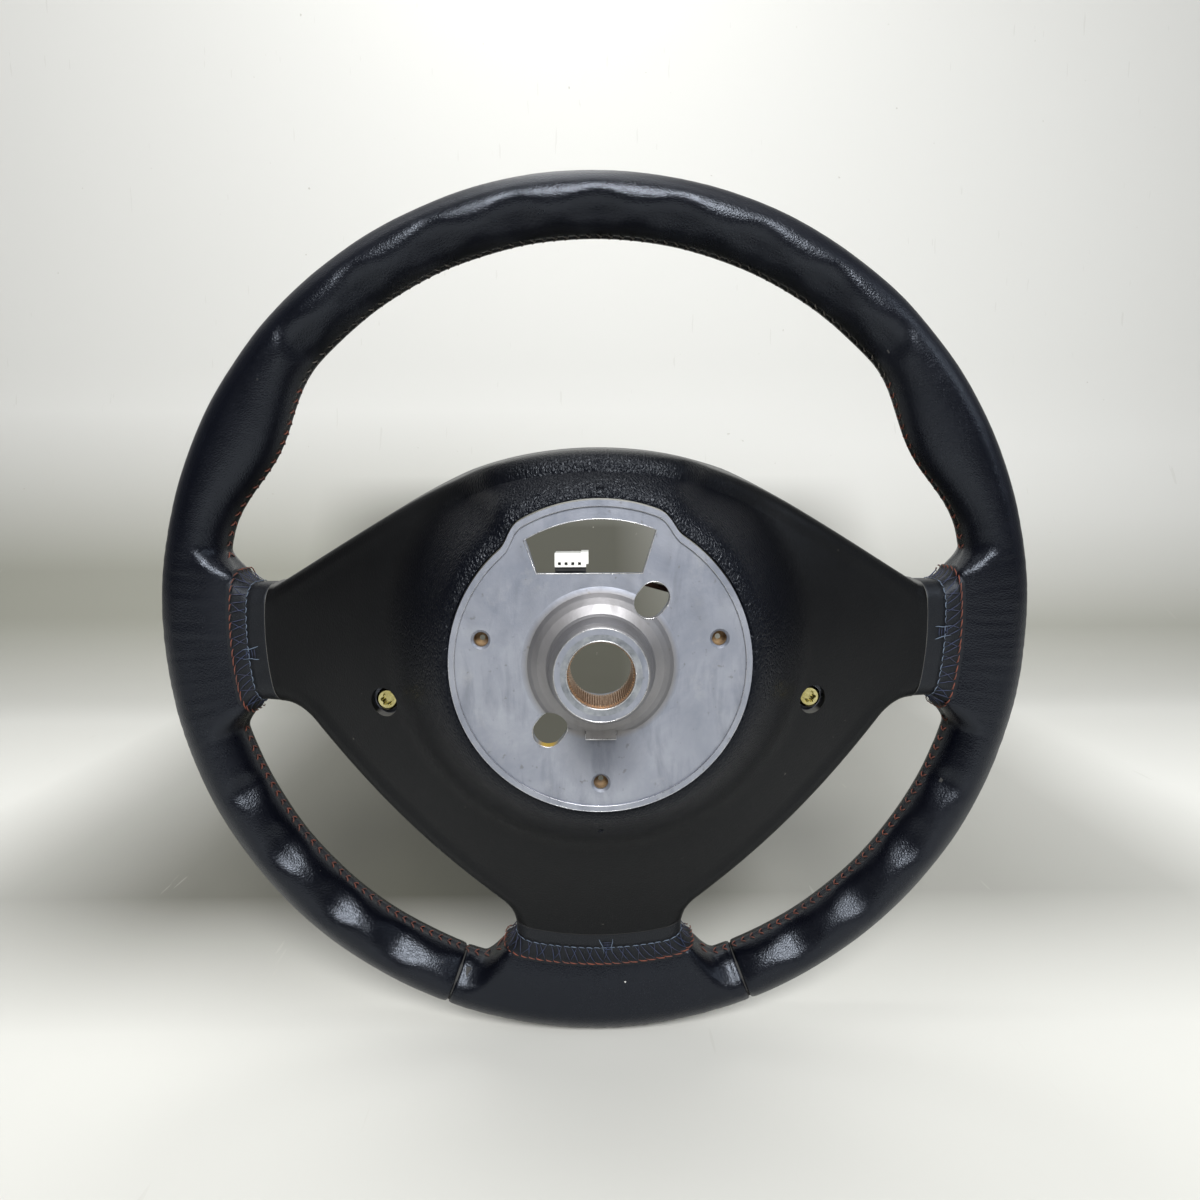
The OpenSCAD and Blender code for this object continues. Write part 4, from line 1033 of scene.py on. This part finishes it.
# Lint caught on the lower rim
LINT_TURN = 274.0
LINT_R = 162.0
v = min(range(91, 180), key=lambda k: abs(math.hypot(*rim_point(LINT_TURN, k)[:2]) - LINT_R))
a, b = Vector(rim_point(LINT_TURN, v)), Vector(rim_point(LINT_TURN + 0.3, v))
lint = [a, a.lerp(b, 0.5) + Vector((0, 0, 0.25)), b]
dress(tubes_object("lint", [lint], 0.42), M_LINT)

# Bright edges on the plate: burrs and chamfers, and beads on the lip and round the tab that are painted
# highlights

WINDOW_R = 48.5
WINDOW_LOW_Y = 30.6
BURR_Z = PLATE_Z - 0.02
BOSS_EDGE_Z = BOSS_Z - 0.12
TAB_HALF = 5.1


def bead(name, pts, z, radius, closed=True):
    """A thin bright edge along the points, at height z."""
    path = [(x, y, z) for x, y in pts]
    if closed:
        path = path + path[:2]
    dress(tubes_object(name, [path], radius), M_EDGE)


def window_edge():
    right = math.degrees(math.atan2(43.7, 18.0))
    left = math.degrees(math.atan2(41.4, -24.9))
    arc = [polar(WINDOW_R, mix(left, right, k / 24)) for k in range(25)]
    return arc + [(14.0, WINDOW_LOW_Y), (-21.0, WINDOW_LOW_Y)]


def slot_edge(angle):
    """Two half circles that lie a little apart, at the angle on the slots' circle."""
    cx, cy = polar(SLOT_CIRCLE_R, angle)
    ux, uy = polar(1, angle)
    pts = []
    for sign in (1, -1):
        for k in range(13):
            w = 180 * k / 12 - sign * 90
            lx = sign * 1.3 + 5.2 * deg_cos(w)
            ly = 5.2 * deg_sin(w)
            pts.append((cx + lx * ux - ly * uy, cy + lx * uy + ly * ux))
    return pts


bead("window_burr", window_edge(), BURR_Z, 0.17)
bead("slot_burr_upper", slot_edge(SLOT_TURNS[0]), BURR_Z, 0.15)
bead("slot_burr_lower", slot_edge(SLOT_TURNS[1]), BURR_Z, 0.15)
# Painted highlights: a bright bead all round the lip's step, and one on its outer edge over the lower half
# only, where light from above catches the lip.
bead("lip_line_painted_highlight", [polar(plate_edge(a) - 1.9, a) for a in range(0, 360, 3)], PLATE_Z + 0.55, 0.13)
bead("lip_edge_painted_highlight", [polar(plate_edge(a) - 0.15, a) for a in range(174, 348, 3)], PLATE_Z + 0.68, 0.14, False)
# Painted highlight: a bright bead round the tab stands in for its lit top.
tab = [(-TAB_HALF, -21.6), (-TAB_HALF, -24.6), (TAB_HALF, -24.6), (TAB_HALF, -21.6)]
bead("tab_edge_painted_highlight", tab, PLATE_Z + 2.4, 0.2, False)
bead("bush_edge", [polar(10.95, 6 * k) for k in range(60)], BOSS_EDGE_Z, 0.24)
bead("boss_edge", [polar(14.95, 6 * k) for k in range(60)], BOSS_EDGE_Z, 0.2)

# Brown lining of the three holes: radius and height of its rings, from the bottom up
LINING = ((0.9, 81.5), (2.2, 81.7), (2.44, 82.3), (2.44, 84.8))
for k, angle in enumerate(HOLE_TURNS):
    hx, hy = polar(HOLE_CIRCLE_R, angle)
    rings = [[(x, y, z) for x, y in circle(hx, hy, r, 30)] for r, z in LINING]
    dress(grid_object(f"hole_lining_{k}", rings), M_GOLD)

# Stage, light and camera

# The backdrop from the side, in metres: a floor, a quarter of a circle and a wall
FLOOR_Z = -0.1905
CURVE_Y = 0.7
CURVE_R = 0.5
BACKDROP_HALF = 2.5
profile = [(-1.3, 0.0), (-0.6, 0.0), (0.0, 0.0), (0.6, 0.0)]
for k in range(17):
    a = math.pi / 2 * k / 16
    profile.append((CURVE_Y + CURVE_R * math.sin(a), CURVE_R * (1 - math.cos(a))))
profile += [(1.2, 0.9), (1.2, 2.3)]
lengths = [0.0]
for (y0, z0), (y1, z1) in zip(profile, profile[1:]):
    lengths.append(lengths[-1] + math.hypot(y1 - y0, z1 - z0))
n = len(profile)
verts = [(x, y, z + FLOOR_Z) for x in (-BACKDROP_HALF, BACKDROP_HALF) for y, z in profile]
me = bpy.data.meshes.new("backdrop")
me.from_pydata(verts, [], [(i, n + i, n + i + 1, i + 1) for i in range(n - 1)])
layer = me.uv_layers.new(name="UVMap")
for i in range(n - 1):
    corners = ((0, i), (1, i), (1, i + 1), (0, i + 1))
    for k, (u, j) in enumerate(corners):
        layer.data[4 * i + k].uv = (u, lengths[j] / lengths[-1])
me.shade_smooth()
backdrop = new_object("backdrop", me)
backdrop.data.materials.append(backdrop_material())


def area(name, loc, target, size, power, color):
    """An oval light at loc that points to the target."""
    light = bpy.data.lights.new(name, "AREA")
    light.shape = "ELLIPSE"
    light.size, light.size_y = size
    light.energy = power
    light.color = color
    ob = new_object(name, light)
    ob.location = loc
    ob.rotation_mode = "QUATERNION"
    ob.rotation_quaternion = (Vector(target) - Vector(loc)).to_track_quat("-Z", "Y")


area("key", (0.1, -1.35, 1.1), (0, 0.1, 0.0), (0.8, 0.62), 45.0, (1.0, 0.995, 0.98))
area("back_top", (-0.1, 0.6, 1.5), (0, 0.6, -0.1), (2.2, 0.5), 7.5, (1.0, 1.0, 0.99))
area("side", (1.2, -0.5, 0.75), (0, 0.1, 0.0), (0.4, 0.7), 3.0, (0.86, 0.93, 1.0))
area("wall", (-0.5, 0.1, 2.2), (-0.35, 1.2, 0.35), (3.4, 0.6), 15.5, (1.0, 1.0, 0.98))
world = bpy.data.worlds.new("world")
bpy.context.scene.world = world
world.use_nodes = True
bg = world.node_tree.nodes["Background"]
bg.inputs["Color"].default_value = (0.93, 0.96, 1.0, 1)
bg.inputs["Strength"].default_value = 0.1

# Place, turn and lens of the camera, as fitted to the photograph
CAMERA_PLACE = (-0.0034, -0.2322, 0.0522)
CAMERA_TURN = Matrix(((0.999901, 0.004925, -0.013166),
                      (-0.013666, 0.121294, -0.992523),
                      (-0.003292, 0.992604, 0.12135)))
CAMERA_LENS = 22.76
cam_data = bpy.data.cameras.new("camera")
cam_data.sensor_width = 36.0
cam_data.lens = CAMERA_LENS
cam_data.clip_start = 0.01
camera = new_object("camera", cam_data)
camera.location = CAMERA_PLACE
camera.rotation_mode = "QUATERNION"
camera.rotation_quaternion = CAMERA_TURN.to_quaternion()
bpy.context.scene.camera = camera

bpy.context.scene.view_settings.view_transform = "Standard"
